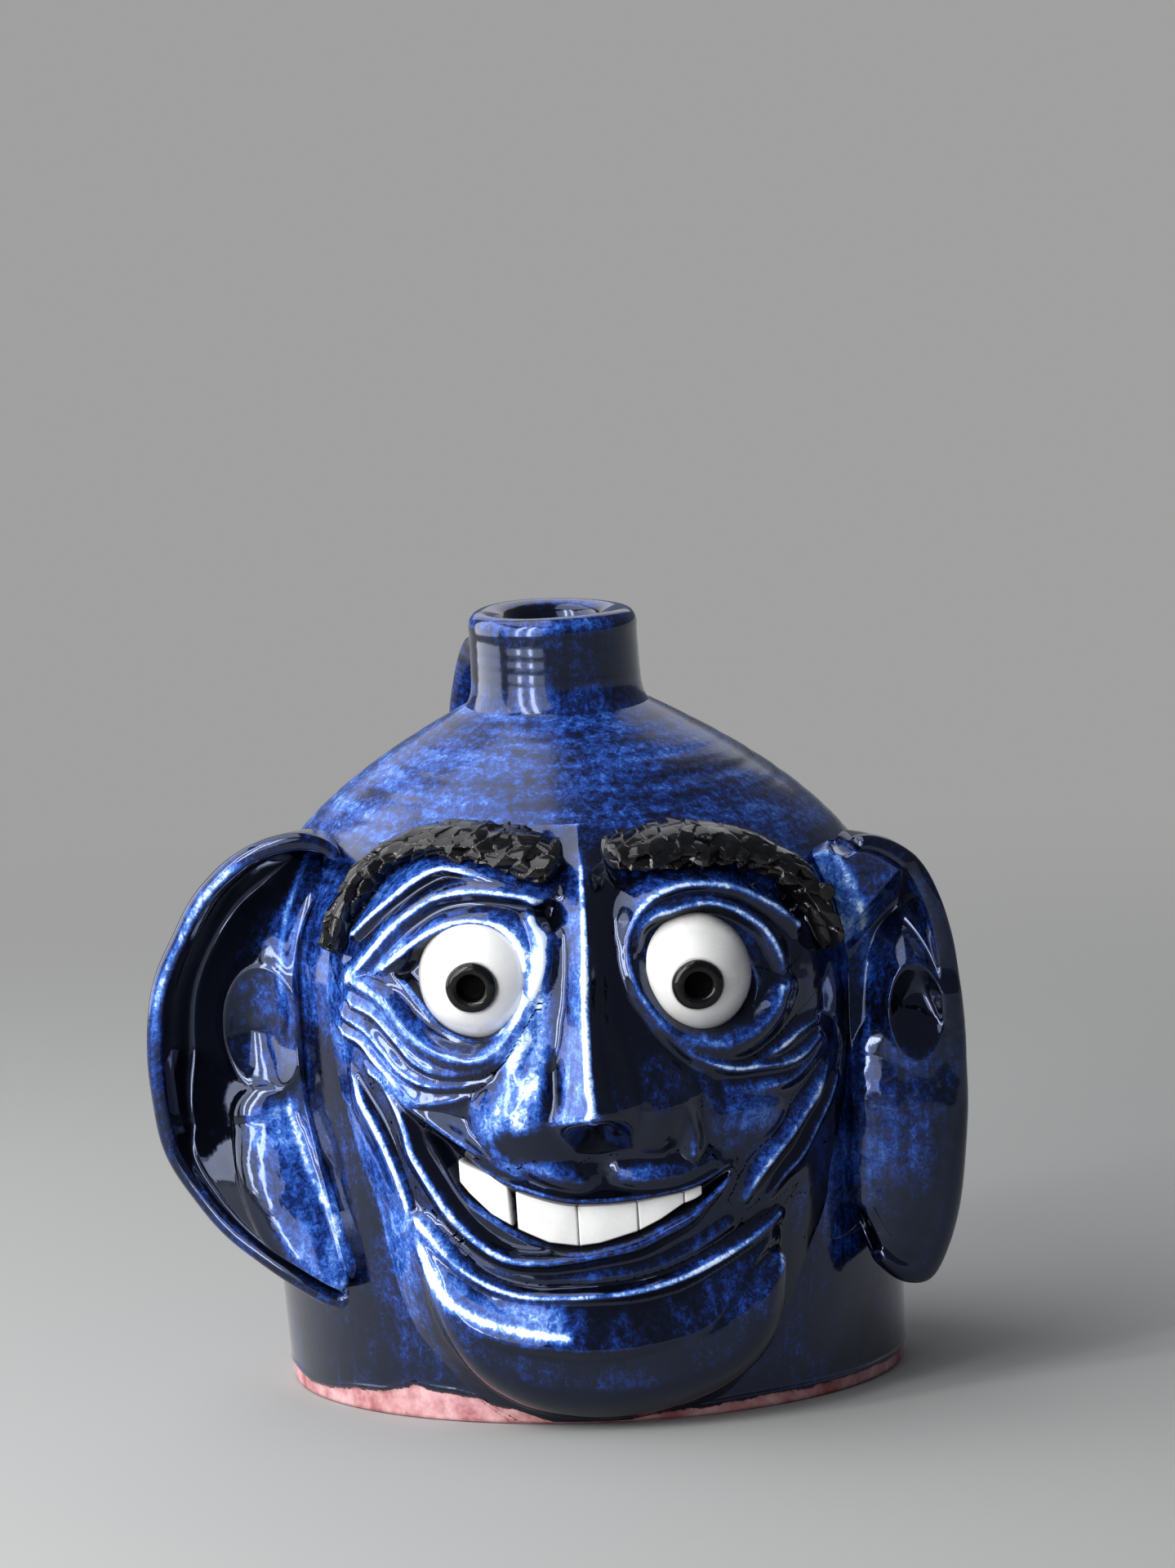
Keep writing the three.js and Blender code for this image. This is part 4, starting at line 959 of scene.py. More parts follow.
class Face:
    """The height of the face over the wall on a grid of distances round and up it."""

    def __init__(self):
        self.u = np.arange(*FACE_ACROSS, CELL)
        self.v = np.arange(*FACE_WALK, CELL)
        self.U, self.V = np.meshgrid(self.u, self.v, indexing="ij")
        self.Z = height_at(self.V)
        edge = [wall_place(x, z, 0) for x, z in SWELL_EDGE]
        places = edge + [wall_place(x, z, h) for x, z, h in SWELL]
        levels = [SUNK] * len(edge) + [h for _, _, h in SWELL]
        sheet = np.clip(thin_plate(places, levels, self.U, self.V), SUNK, SWELL_LIMIT)
        beyond = np.maximum(self.loop_distance(np.array(edge), EVERYWHERE, 2.5), 0)
        self.total = np.exp(np.where(beyond > 0, SUNK - 0.6 * beyond, sheet) / BLEND)
        self.best = np.full(self.U.shape, -1e9)
        self.label = np.full(self.U.shape, -1)
        self.names = []

    def number(self, name):
        """A piece's number on the skin."""
        if name not in self.names:
            self.names.append(name)
        return self.names.index(name)

    def add(self, name, heights, block=EVERYWHERE):
        """Joins a shape to the skin with a small fillet, and notes where it is the highest."""
        self.total[block] += np.exp(np.minimum(heights, 30) / BLEND)
        higher = heights > self.best[block]
        self.best[block][higher] = heights[higher]
        self.label[block][higher] = self.number(name)

    def block(self, points):
        """The part of the grid round some points, with room for what they raise."""
        sides = np.array([points[:, :2].min(0) - REACH, points[:, :2].max(0) + REACH]).T
        return tuple(slice(*np.searchsorted(line, ends)) for line, ends in zip((self.u, self.v), sides))

    def ridge(self, name, path, falls, roundness):
        """A crest along a path, with a fall of its own to each side."""
        curve = smooth_path([(*wall_place(x, z, h), h) for x, z, h in path], 0.5)
        block = self.block(curve)
        U, V = self.U[block], self.V[block]
        far, index = nearest(U, V, curve)
        du, dv = directions(curve[:, :2])[index].transpose(2, 0, 1)
        side = du * (V - curve[index, 1]) - dv * (U - curve[index, 0])
        inner = (index > 0) & (index < len(curve) - 1)
        distance = np.where(inner, np.abs(side), far)
        soft = roundness * ROUNDER
        drop = np.where(side > 0, *falls) * (np.sqrt(distance**2 + soft**2) - soft)
        self.add(name, curve[index, 2] - drop, block)

    def lump(self, name, middle, half, height):
        """A rounded lump of clay."""
        share = oval(self.U, self.V, wall_place(*middle, height), half)
        self.add(name, height * (1 - 0.55 * share**2.2))

    def nose(self):
        """The keel of clay: a blunt ridge, with flanks that hollow out towards the wings."""
        rows = [(z, 0, left, ridge, right, share) for z, left, ridge, right, share in NOSE_STATIONS]
        stations = smooth_path(rows, 0.5)
        stations = stations[np.argsort(stations[:, 0])]
        # The wings droop: towards the sides each station lies lower
        x = (body_radius(self.Z) + 8) * np.sin(self.U / BELLY_RADIUS)
        z = self.Z + 0.17 * np.clip(x - 6, 0, 22) + 0.27 * np.clip(2 - x, 0, 20) * climb(self.Z, 92, -16)
        left, ridge, right, share = (np.interp(z, stations[:, 0], stations[:, k]) for k in (2, 3, 4, 5))
        peak = NOSE_HEIGHT * share
        middle = across_of(ridge, self.Z, peak)
        low = across_of(left, self.Z, 5)
        high = across_of(right, self.Z, 5)
        on_right = self.U > middle
        across = np.where(on_right, (self.U - middle) / (high - middle), (middle - self.U) / (middle - low))
        blunt = 0.08
        fall = np.sqrt(across**2 + blunt**2) - blunt
        hollow = np.where(on_right, 0.88, 0.74)
        heights = peak - (peak - np.minimum(3.5, 0.4 * peak)) * fall**hollow * 1.1
        outside = (z > NOSE_STATIONS[0][0]) | (z < NOSE_STATIONS[-1][0])
        self.add("nose", np.where(outside, -9.0, heights))
        # Painted shade on the nose's flank towards +x, turned from the lamps
        self.nose_right_painted_shade = 0.2 * climb(self.U - middle, 0.4, 1.2) * climb(z, 128, -10)

    def chin(self):
        """The wad of clay under the mouth, with a rounded edge."""
        block, distance = self.outline_distance(CHIN_EDGE, 5)
        heights = CHIN_HEIGHT * quarter_round(-distance / 10.0)
        self.add("chin", np.where(distance > 0, -distance * 2, heights), block)

    def outline_distance(self, outline, off):
        """The part of the grid round a closed outline, and its signed distance: below 0 inside."""
        points = np.array([wall_place(x, z, off) for x, z in outline])
        block = self.block(points)
        return block, self.loop_distance(points, block, 0.6)

    def loop_distance(self, points, block, step):
        """Signed distance to a loop of places on the wall: below 0 inside."""
        curve = smooth_path(np.vstack([points, points[:1]]), step)[:-1]
        U, V = self.U[block], self.V[block]
        near = np.full(U.shape, 1e9)
        inside = np.zeros(U.shape, bool)
        for (u0, v0), (u1, v1) in zip(curve, np.roll(curve, -1, axis=0)):
            du, dv = u1 - u0, v1 - v0
            along = np.clip(((U - u0) * du + (V - v0) * dv) / (du**2 + dv**2 + 1e-12), 0, 1)
            near = np.minimum(near, (U - u0 - along * du) ** 2 + (V - v0 - along * dv) ** 2)
            with np.errstate(divide="ignore", invalid="ignore"):
                inside ^= ((v0 > V) != (v1 > V)) & (U < u0 + (V - v0) / dv * du)
        return np.where(inside, -1, 1) * np.sqrt(near)

    def path_distance(self, path):
        """Distance over the wall to a path in the front view."""
        return nearest(self.U, self.V, smooth_path([wall_place(x, z, 6) for x, z in path], 0.9))[0]

    def cut(self, outline, off, floor, fall, inset, reach):
        """Presses a hollow with steep sides into the skin, and notes where it lies: glaze pools there and
        painted shade darkens it.
        """
        block, distance = self.outline_distance(outline, off)
        limit = floor + fall * np.maximum(distance + inset, 0)
        self.pit[block] = np.maximum(self.pit[block], climb(distance, reach, -reach))
        self.height[block] = -BLEND * np.log(np.exp(-self.height[block] / BLEND) + np.exp(-limit / BLEND))

    def raise_clay(self):
        """Puts the clay on and presses the hollows into it."""
        for ridge in RIDGES:
            self.ridge(*ridge)
        for lump in LUMPS:
            self.lump(*lump)
        self.nose()
        self.chin()
        self.height = BLEND * np.log(self.total)
        self.pit = np.zeros(self.U.shape)
        for outline in EYE_SLITS:
            self.cut(outline, 6, 0.6, 3.2, 1.5, 1.3)
        self.cut(MOUTH, 7, 1.4, 3.0, 1.1, 6.0)
        for middle, half, depth in DENTS:
            self.height -= depth * np.exp(-oval(self.U, self.V, wall_place(*middle, 5), half) ** 3)
        lumps = 0.16 * ripple(self.U, self.V, 9, 11) + 0.03 * ripple(self.U, self.V, 2.6, 12)
        self.height = blurred(self.height + lumps, 0.75)
        # A thumb pressed the right wing of the nose on and left it smooth
        smooth = bell(self.path_distance(SMOOTHED_WING), 4.4)
        self.height += smooth * (blurred(self.height, 2.8) - self.height)

    def lay_skin(self):
        """Points of the skin's front and of the wall behind it. Where no clay lies, it is no piece's."""
        # Painted shade of the nose's flank turned from the lamps, kept where the nose is the highest piece
        self.shadow = np.where(self.label == self.number("nose"), self.nose_right_painted_shade, 0)
        self.label[self.height <= -0.25] = -1
        under = thrown(self.U / BELLY_RADIUS, self.Z)
        self.points = on_wall(self.U, self.Z, self.height + under * climb(self.height, 2.5, -2.5))
        self.floor = on_wall(self.U, self.Z, np.minimum(self.height, 0.0) - 0.05 + under)
        self.normals = grid_normals(self.points)

    def glaze(self):
        """Where the glaze pools and where it thins, and where shade and light are painted into its tone."""
        wide = self.height - blurred(self.height, 9)
        fine = self.height - blurred(self.height, 1.9)
        self.crest = np.clip(fine / 0.4, -1, 1)
        # Darker in hollows and in the pressed eye slits and mouth: partly pooled glaze, partly painted shade
        self.pool = 0.5 * climb(wide, 0, -2.6) + 0.5 * blurred(self.pit, 0.8)
        # Painted shade on surfaces that face down
        self.pool += 0.45 * climb(self.normals[..., 2], -0.18, -0.4)
        self.pool += 0.12 * climb(self.Z, 34, -16) + 0.05
        # Painted light on flanks that face the lamps, on the jug's right, and painted shade on flanks that
        # face its left
        flank = self.normals[..., 0]
        self.lift = 0.2 * climb(flank, -0.3, -0.4) * climb(self.U, 12, -8)
        self.pool += 0.12 * climb(flank, 0.35, 0.4)
        # Painted light and shade, and glaze that ran and pooled, along the listed paths
        for path, half, amount in RUNS_AND_PAINTED_LIGHT_SHADE:
            self.lift += amount * bell(self.path_distance(path), half)
        # Painted shade on the nose's flank turned from the lamps, and on the upper lip under the nose
        on_lip = (self.label == self.number("upper_lip")) * 1.0
        self.pool += blurred(self.shadow, 2) + 0.12 * blurred(on_lip, 3)
        self.bare = self.Z - glaze_edge(self.U / BELLY_RADIUS) + 20 * climb(self.height, 1.2, 3)


def face_pieces():
    """Cuts the skin into its pieces of clay: each keeps its part of the front, and its back is the wall."""
    face = Face()
    face.raise_clay()
    face.lay_skin()
    face.glaze()
    whole = face.label > -1
    full = whole[:-1, :-1] & whole[1:, :-1] & whole[:-1, 1:] & whole[1:, 1:]
    size, rows = face.U.size, face.U.shape[1]
    front, back, normals = (grid.reshape(-1, 3) for grid in (face.points, face.floor, face.normals))
    for number, name in enumerate(face.names):
        i, j = np.nonzero(full & (face.label[:-1, :-1] == number))
        corners = (i * rows + j)[:, None] + [0, rows, rows + 1, 1]
        uses = np.bincount(corners.ravel(), minlength=size)
        used = np.nonzero(uses)[0]
        buried = used[uses[used] == 4]
        top = np.full(size, -1)
        top[used] = np.arange(len(used))
        low = top.copy()
        low[buried] = len(used) + np.arange(len(buried))
        # Round its rim a piece's front and back share their points
        apart = (low[corners] != top[corners]).any(axis=1)
        faces = np.vstack([top[corners], low[corners][:, ::-1]])[np.concatenate([apart, apart])]
        points = np.vstack([front[used], back[buried]])
        piece_normals = np.vstack([normals[used], -normals[buried]])
        order = np.concatenate([used, buried])
        values = {key: getattr(face, key).ravel()[order] for key in ("crest", "pool", "lift", "bare")}
        make_piece("clay_" + name, points, faces, BLUE, [name], values, piece_normals)


# Eyes


def eye_axes(eye, centre):
    """The unit direction in which an eye looks, and two more that are square to it and to each other."""
    x, z = eye["look"]
    proud = EYE_RADIUS - EYE_SINK
    aim = on_wall(across_of(x, z, proud), z, proud) - centre
    aim /= np.linalg.norm(aim)
    across = np.cross([0, 0, 1], aim)
    across /= np.linalg.norm(across)
    return aim, across, np.cross(aim, across)


def between(angle, across, up):
    """Unit directions at some angles from `across` towards `up`."""
    return np.cos(angle)[..., None] * across + np.sin(angle)[..., None] * up


# Angles from the eye's aim: start, end and count of each run of rows, closest where the pupil sits
EYE_ROWS = ((0.02, 0.35, 8), (0.36, 0.46, 11), (0.48, 1.6, 46), (1.65, 3.12, 20))
SOCKET_ANGLE = 0.405


def eyeball(side, eye):
    """A slightly uneven ball of white clay let into the wall, with painted shade, grey, where the lids cover
    it and round the pupil.
    """
    centre = eye_centre(eye)
    aim, across, up = eye_axes(eye, centre)
    polar = np.concatenate([np.linspace(*run) for run in EYE_ROWS])
    a, b = np.meshgrid(turns(96), polar, indexing="ij")
    shape = between(b, aim, between(a, across, up))
    dish = 3.2 * climb(b, SOCKET_ANGLE, -0.03)
    radius = EYE_RADIUS + 0.05 * ripple(shape[..., 0] * 14, shape[..., 2] * 14, 5, 21) - dish
    points = centre + radius[..., None] * shape
    r = np.hypot(points[..., 0], points[..., 1])
    seat = body_radius(points[..., 2]) - EYE_SEAT
    points[..., :2] *= np.maximum(seat / r, 1)[..., None]
    # Painted shade at the ball's edge under the lids, and in a ring round the pupil
    shade = 0.95 * climb(b, 1.0, 0.42) ** 1.3 + 0.7 * bell(b - 0.43, 0.02)
    rings = points.transpose(1, 0, 2)[::-1]
    values = {"shade": shade[:, ::-1]}
    make_tube(f"{side}_eyeball_white", rings, WHITE, [f"{side}_eyeball"], values)


# Outline of the pupil: [radius, distance in front of the eyeball]
PUPIL_PROFILE = (
    (0.2, -2.3), (1.7, -2.3), (2.6, -2.0), (2.9, -0.8), (3.15, 0.15), (3.7, 0.55), (4.4, 0.6), (5.1, 0.3),
    (PUPIL_RADIUS, -0.35), (PUPIL_RADIUS, -1.6), (4.0, -3.0), (0.2, -3.0),
)


def pupil(side, eye):
    """A dark plug in the eyeball's front: a rolled ring round a dished, pierced middle."""
    centre = eye_centre(eye)
    aim, across, up = eye_axes(eye, centre)
    profile = smooth_path(PUPIL_PROFILE, 0.18)
    turn = turns(72)
    rings = []
    for r, d in profile:
        radius = r * (1 + 0.02 * np.sin(2 * turn + 1) + 0.005 * np.sin(5 * turn))
        lift = d + 0.05 * np.sin(3 * turn + 2) * (3.6 < r < 5.4) + EYE_RADIUS
        rings.append(centre + lift[:, None] * aim + radius[:, None] * between(turn, across, up))
    matt = np.broadcast_to(np.clip((3.2 - profile[::-1, 0]) / 0.3, 0.3, 1), (len(turn), len(profile)))
    name = f"{side}_pupil"
    make_tube(name + "_dark", rings[::-1], BLACK, [name], {"matt": matt}, hub=1.0)


# Teeth

# Left and right side of each tooth, and the edges that the row of teeth keeps to: [x, z] in the front view
TEETH = ((-28.2, -17.0), (-15.9, -2.44), (-2.38, 11.0), (11.06, 21.5), (21.56, 25.6))
BITE = (
    (-30, 59), (-26, 53.9), (-21.4, 49.3), (-16.1, 46.1), (-9.1, 42.9), (-2.4, 41.9), (2.2, 42.4),
    (11, 44.7), (16.1, 47.1), (20.8, 49.9), (24, 51.0), (27, 52.6),
)
GUMS = (
    (-30, 62.4), (-26, 60.4), (-21.8, 58.6), (-16.5, 57.0), (-8, 54.2), (0, 53.0), (8, 53.2), (21.6, 55.4),
    (27, 57.2),
)
# Middle of the painted shade in the notch between the second and third tooth
NOTCH_PAINTED_SHADE = (-2.4, 51.0)


def tooth(number, left, right):
    """A chip of white clay with soft corners; the row of teeth keeps to one curved bite."""
    columns, rows = 52, 48
    count = columns * rows
    s, t = np.meshgrid(np.linspace(-1, 1, columns), np.linspace(-1, 1, rows), indexing="ij")
    x = (left + right) / 2 + s * (right - left) / 2
    if number == 1:
        x = x - 0.5 * np.clip(s, 0, 1) * (t + 1) / 2
    low = np.interp(x, *np.array(BITE).T)
    high = np.interp(x, *np.array(GUMS).T)
    z = low + (high - low) * (t + 1) / 2
    side_gap = (1 - np.abs(s)) * (right - left) / 2
    edge_gap = np.minimum(z - low, high - z)
    soft = 0.4
    drop = 2 - sum(quarter_round(gap / soft) for gap in (side_gap, edge_gap))
    crown = 0.22 * (1 - s**2) + 0.1 * ripple(x, z, 5, 30 + number)
    across = across_of(x, z, TOOTH_HEIGHT)
    front = on_wall(across, z, TOOTH_HEIGHT + crown - 0.55 * np.minimum(drop, 1.6))
    back = on_wall(across, z, 0.05)
    points = np.vstack([front.reshape(-1, 3), back.reshape(-1, 3)])
    index = np.arange(count).reshape(columns, rows)
    rim = [*index[:, 0], *index[-1, 1:], *index[-2::-1, -1], *index[0, -2:0:-1]]
    faces = grid_faces(columns, rows)
    faces += [tuple(corner + count for corner in face[::-1]) for face in faces]
    faces += [(b, a, a + count, b + count) for a, b in zip(rim, rim[1:] + rim[:1])]
    # Painted shade, grey, in the gaps between the teeth, along the bite and in the notch
    grey = 0.45 * climb(side_gap, 0.3, -0.3) + 0.35 * climb(z - low, 0.5, -0.5)
    grey += 0.9 * bell(x - NOTCH_PAINTED_SHADE[0], 0.7) * bell(z - NOTCH_PAINTED_SHADE[1], 0.9)
    values = {"shade": np.concatenate([np.clip(grey, 0, 1).ravel(), np.full(count, 0.5)])}
    make_piece(f"tooth_{number}_white", points, faces, WHITE, [f"tooth_{number}"], values)


# Brows

# [x, z] along each coil in the front view, and its half width there
BROWS = {
    "right_brow": {
        "path": (
            (-53.8, 105.6), (-49.3, 115.6), (-40.3, 126.2), (-29, 130.4), (-15, 129.4),
            (-6.8, 127), (-1.4, 124.8),
        ),
        "half": (1.6, 3.3, 4.6, 5.0, 5.8, 7.0, 5.4),
    },
    "left_brow": {
        "path": (
            (8.6, 126.4), (14.5, 127.4), (27, 127.8), (38, 126.2), (48.3, 120.6),
            (54.4, 112.0), (57.6, 102),
        ),
        "half": (4.4, 5.6, 6.4, 6.0, 5.0, 3.4, 1.5),
    },
}
FACET = 4.0
FACET_TILT = 0.46
GIRTH_RADIUS = 6.0


def facet_seeds(length, girth, size, seed):
    """Middles of cut facets on a jittered grid: place along and round the coil, height and two tilts."""
    rng = np.random.default_rng(seed)
    seeds = []
    for i in range(int(length / size) + 2):
        for j in range(int(girth / size) + 1):
            jitter = rng.uniform(-0.42, 0.42, 2) * size
            height = rng.uniform(-0.4, 0.4)
            tilts = rng.uniform(-FACET_TILT, FACET_TILT, 2)
            seeds.append((i * size + jitter[0], j * size + jitter[1], height, *tilts))
    return np.array(seeds)


def facets(along, girth, seeds):
    """Height of flat cut facets: each point lies on the tilted plane of its nearest seed."""
    far = (along - seeds[:, None, 0]) ** 2 + (girth - seeds[:, None, 1]) ** 2
    own = seeds[far.argmin(0)]
    return own[:, 2] + own[:, 3] * (along - own[:, 0]) + own[:, 4] * (girth - own[:, 1])


def brow(name, path, half):
    """A thick coil of black clay, hacked all over with a knife."""
    rows = [(*wall_place(x, z, BROW_HEIGHT / 2), w) for (x, z), w in zip(path, half)]
    curve = smooth_path(rows, 0.28)
    walk = walked(curve[:, :2])
    tangent = directions(curve[:, :2])
    cap = quarter_round(np.minimum(walk, walk[-1] - walk) / 4.0)
    turn = turns(110)
    girth = turn * GIRTH_RADIUS
    up = np.sin(turn)
    seeds = facet_seeds(walk[-1], girth[-1], FACET, 41)
    rings = []
    for k, (u, v, w) in enumerate(curve):
        coarse = ripple(girth, np.full(len(turn), walk[k]), 4.0, 42)
        rough = facets(walk[k] + 0.35 * girth, girth, seeds) + 0.3 * coarse
        radius = max(cap[k], 0.06)
        flat = (w * radius + rough * 0.8) * np.cos(turn)
        crown = (BROW_HEIGHT * (0.55 + 0.45 * min(1, w / 4)) * radius - 1.2) * np.maximum(up, 0) ** 0.85
        off = 1.6 + np.where(up > 0, crown + rough * up, 1.5 * up)
        across = u - tangent[k, 1] * flat
        z = height_at(v + tangent[k, 0] * flat)
        rings.append(on_wall(across, z, off + 1.2))
    make_tube(name + "_black_coil", rings, BLACK, [name])


# Ears

# rim: [x beyond the belly, z] round the ear's free edge, with its y in rim_y
# root: [degrees round the wall, z] from below to above
# lobe: [x, z, half width, level] along the thick roll by the root
# flap: ends of the line above which the ear's top is a plane, and the level of that plane
# tones: base to low darken the glaze: base, hollow, pit and ring as painted shade, low towards the bottom;
# flap to rim make it paler: the flap as painted light, the lobe's edge and the rim as painted highlight, the
# lobe and root paler
EARS = {
    "right_ear": {
        "side": -1,
        "rim": (
            (-21, 28), (-15.6, 25), (-5, 31), (5.6, 38.6), (13.8, 48), (19.6, 58), (21.8, 70), (22, 82),
            (20, 95), (15.0, 106.6), (8.4, 117.8), (-1, 126), (-11, 129.4), (-18, 128.8), (-22.5, 125.4),
        ),
        "rim_y": (-44, -42, -40, -36, -32, -30, -30, -30, -31, -34, -38, -41, -42, -42.5, -43),
        "root": (
            (48, 31), (49, 35), (51, 42), (53, 50), (56, 60), (59, 70), (60, 80), (60, 90), (60, 100),
            (60.5, 108), (61, 114), (63, 118), (67, 121), (72, 123),
        ),
        "cup": 15.0,
        "bowl": {
            "middle": (-70.4, 86.1), "half": (9.0, 14.4),
            "level": 36.6, "tilt": 0.45, "depth": 4.6, "ring": 0.45,
        },
        "lobe": {
            "line": (
                (-71.2, 66, 7.8, 35.0), (-70.2, 61, 8.8, 38.0), (-68.6, 53, 9.6, 41), (-65.8, 45, 9.8, 43),
                (-62, 37, 9.0, 45.2), (-58.2, 30, 7.4, 46.6),
            ),
            "swell": 4.2,
        },
        "flap": None,
        "roll": 0.3,
        "hem": -0.6,
        "tones": {
            "base": 0.0, "hollow": 0.55, "pit": 0.08, "ring": 0.26, "low": 0.0, "flap": 0.0, "painted_lobe_edge_highlight": 0.6,
            "lobe": 0.24, "root": 0.4, "rim": 0.8,
        },
    },
    "left_ear": {
        "side": 1,
        "rim": (
            (-10, 32), (-4.6, 27.6), (0.4, 27.6), (4.2, 33.6), (6.8, 42), (8.8, 54), (10.2, 66), (10.8, 78),
            (10.6, 90), (9.6, 102), (7.4, 111.6), (3.2, 119.6), (-3.6, 124), (-9.6, 124.6),
        ),
        "rim_y": (-45, -42, -40, -40, -40, -40, -40, -40, -41, -42, -43, -43, -42, -42),
        "root": (
            (58, 42), (58, 46), (58, 52), (58, 58), (59, 64), (59, 71), (59, 78), (59, 86), (60, 94),
            (61, 102), (63, 108), (65, 114), (68, 118), (72, 121),
        ),
        "cup": 8.0,
        "bowl": {
            "middle": (76.0, 86.0), "half": (6.2, 11.0),
            "level": 43.6, "tilt": -0.25, "depth": 5.6, "ring": 0.2,
        },
        "lobe": {
            "line": (
                (72.6, 76, 11, 40.4), (72.2, 64, 11.6, 41.6), (72, 52, 12, 42), (71, 42, 12, 42),
                (70, 36, 11, 41.4),
            ),
            "swell": 4.4,
        },
        "flap": ((60.1, 103.4), (78.4, 123.2), 44.0),
        "roll": 0.0,
        "hem": 6.0,
        "tones": {
            "base": 0.08, "hollow": 0.2, "pit": 0.5, "ring": -0.1, "low": 0.45, "flap": 0.3, "painted_lobe_edge_highlight": 0.16,
            "lobe": 0.1, "root": 0.3, "rim": 0.0,
        },
    },
}
EAR_THICKNESS = 5.6
EAR_BLEND = 1.9
RIM_STEPS = 9


def column(points, t):
    """Rows of a smooth path at shares t of its points."""
    fine = smooth_path(points, 0.25)
    index = np.linspace(0, len(fine) - 1, len(t))
    return np.stack([np.interp(index, np.arange(len(fine)), values) for values in fine.T], axis=1)


def bowl_shape(x, z, middle, half, level, tilt, depth, ring):
    """How far forward the ear's bowl stands, a ring round a pit, and the share of the way out to the ring."""
    share = oval(x, z, middle, half)
    crest = ring * bell(share - 1, 0.2)
    pit = depth * (1 - np.clip(share, 0, 1) ** 2) ** 1.4
    return level + tilt * (x - middle[0]) + crest - pit - 10 * np.clip(share - 1, 0, 9), share


def lobe_shape(x, z, line, swell):
    """How far forward the ear's lobe stands, how far a place is inside it, and how far across its roll."""
    curve = smooth_path(line, 0.08)
    far, index = nearest(x, z, curve)
    middle, _, half, level = curve[index].transpose(2, 0, 1)
    share = far / half
    dome = swell * np.sqrt(np.clip(1 - share**2, 0, 1))
    return level + dome - 9 * np.clip(share - 1, 0, 9), np.clip(1.6 - 1.4 * share, 0, 1), (x - middle) / half


def flap_shape(x, z, low, high, level):
    """How far forward the broad plane at the ear's top stands: it ends along a line from `low` to `high`."""
    along = np.subtract(high, low)
    along /= np.linalg.norm(along)
    above = -along[1] * (x - low[0]) + along[0] * (z - low[1])
    return level - 0.12 * np.clip(above, 0, 40) - 2.2 * np.clip(-above, 0, 40)


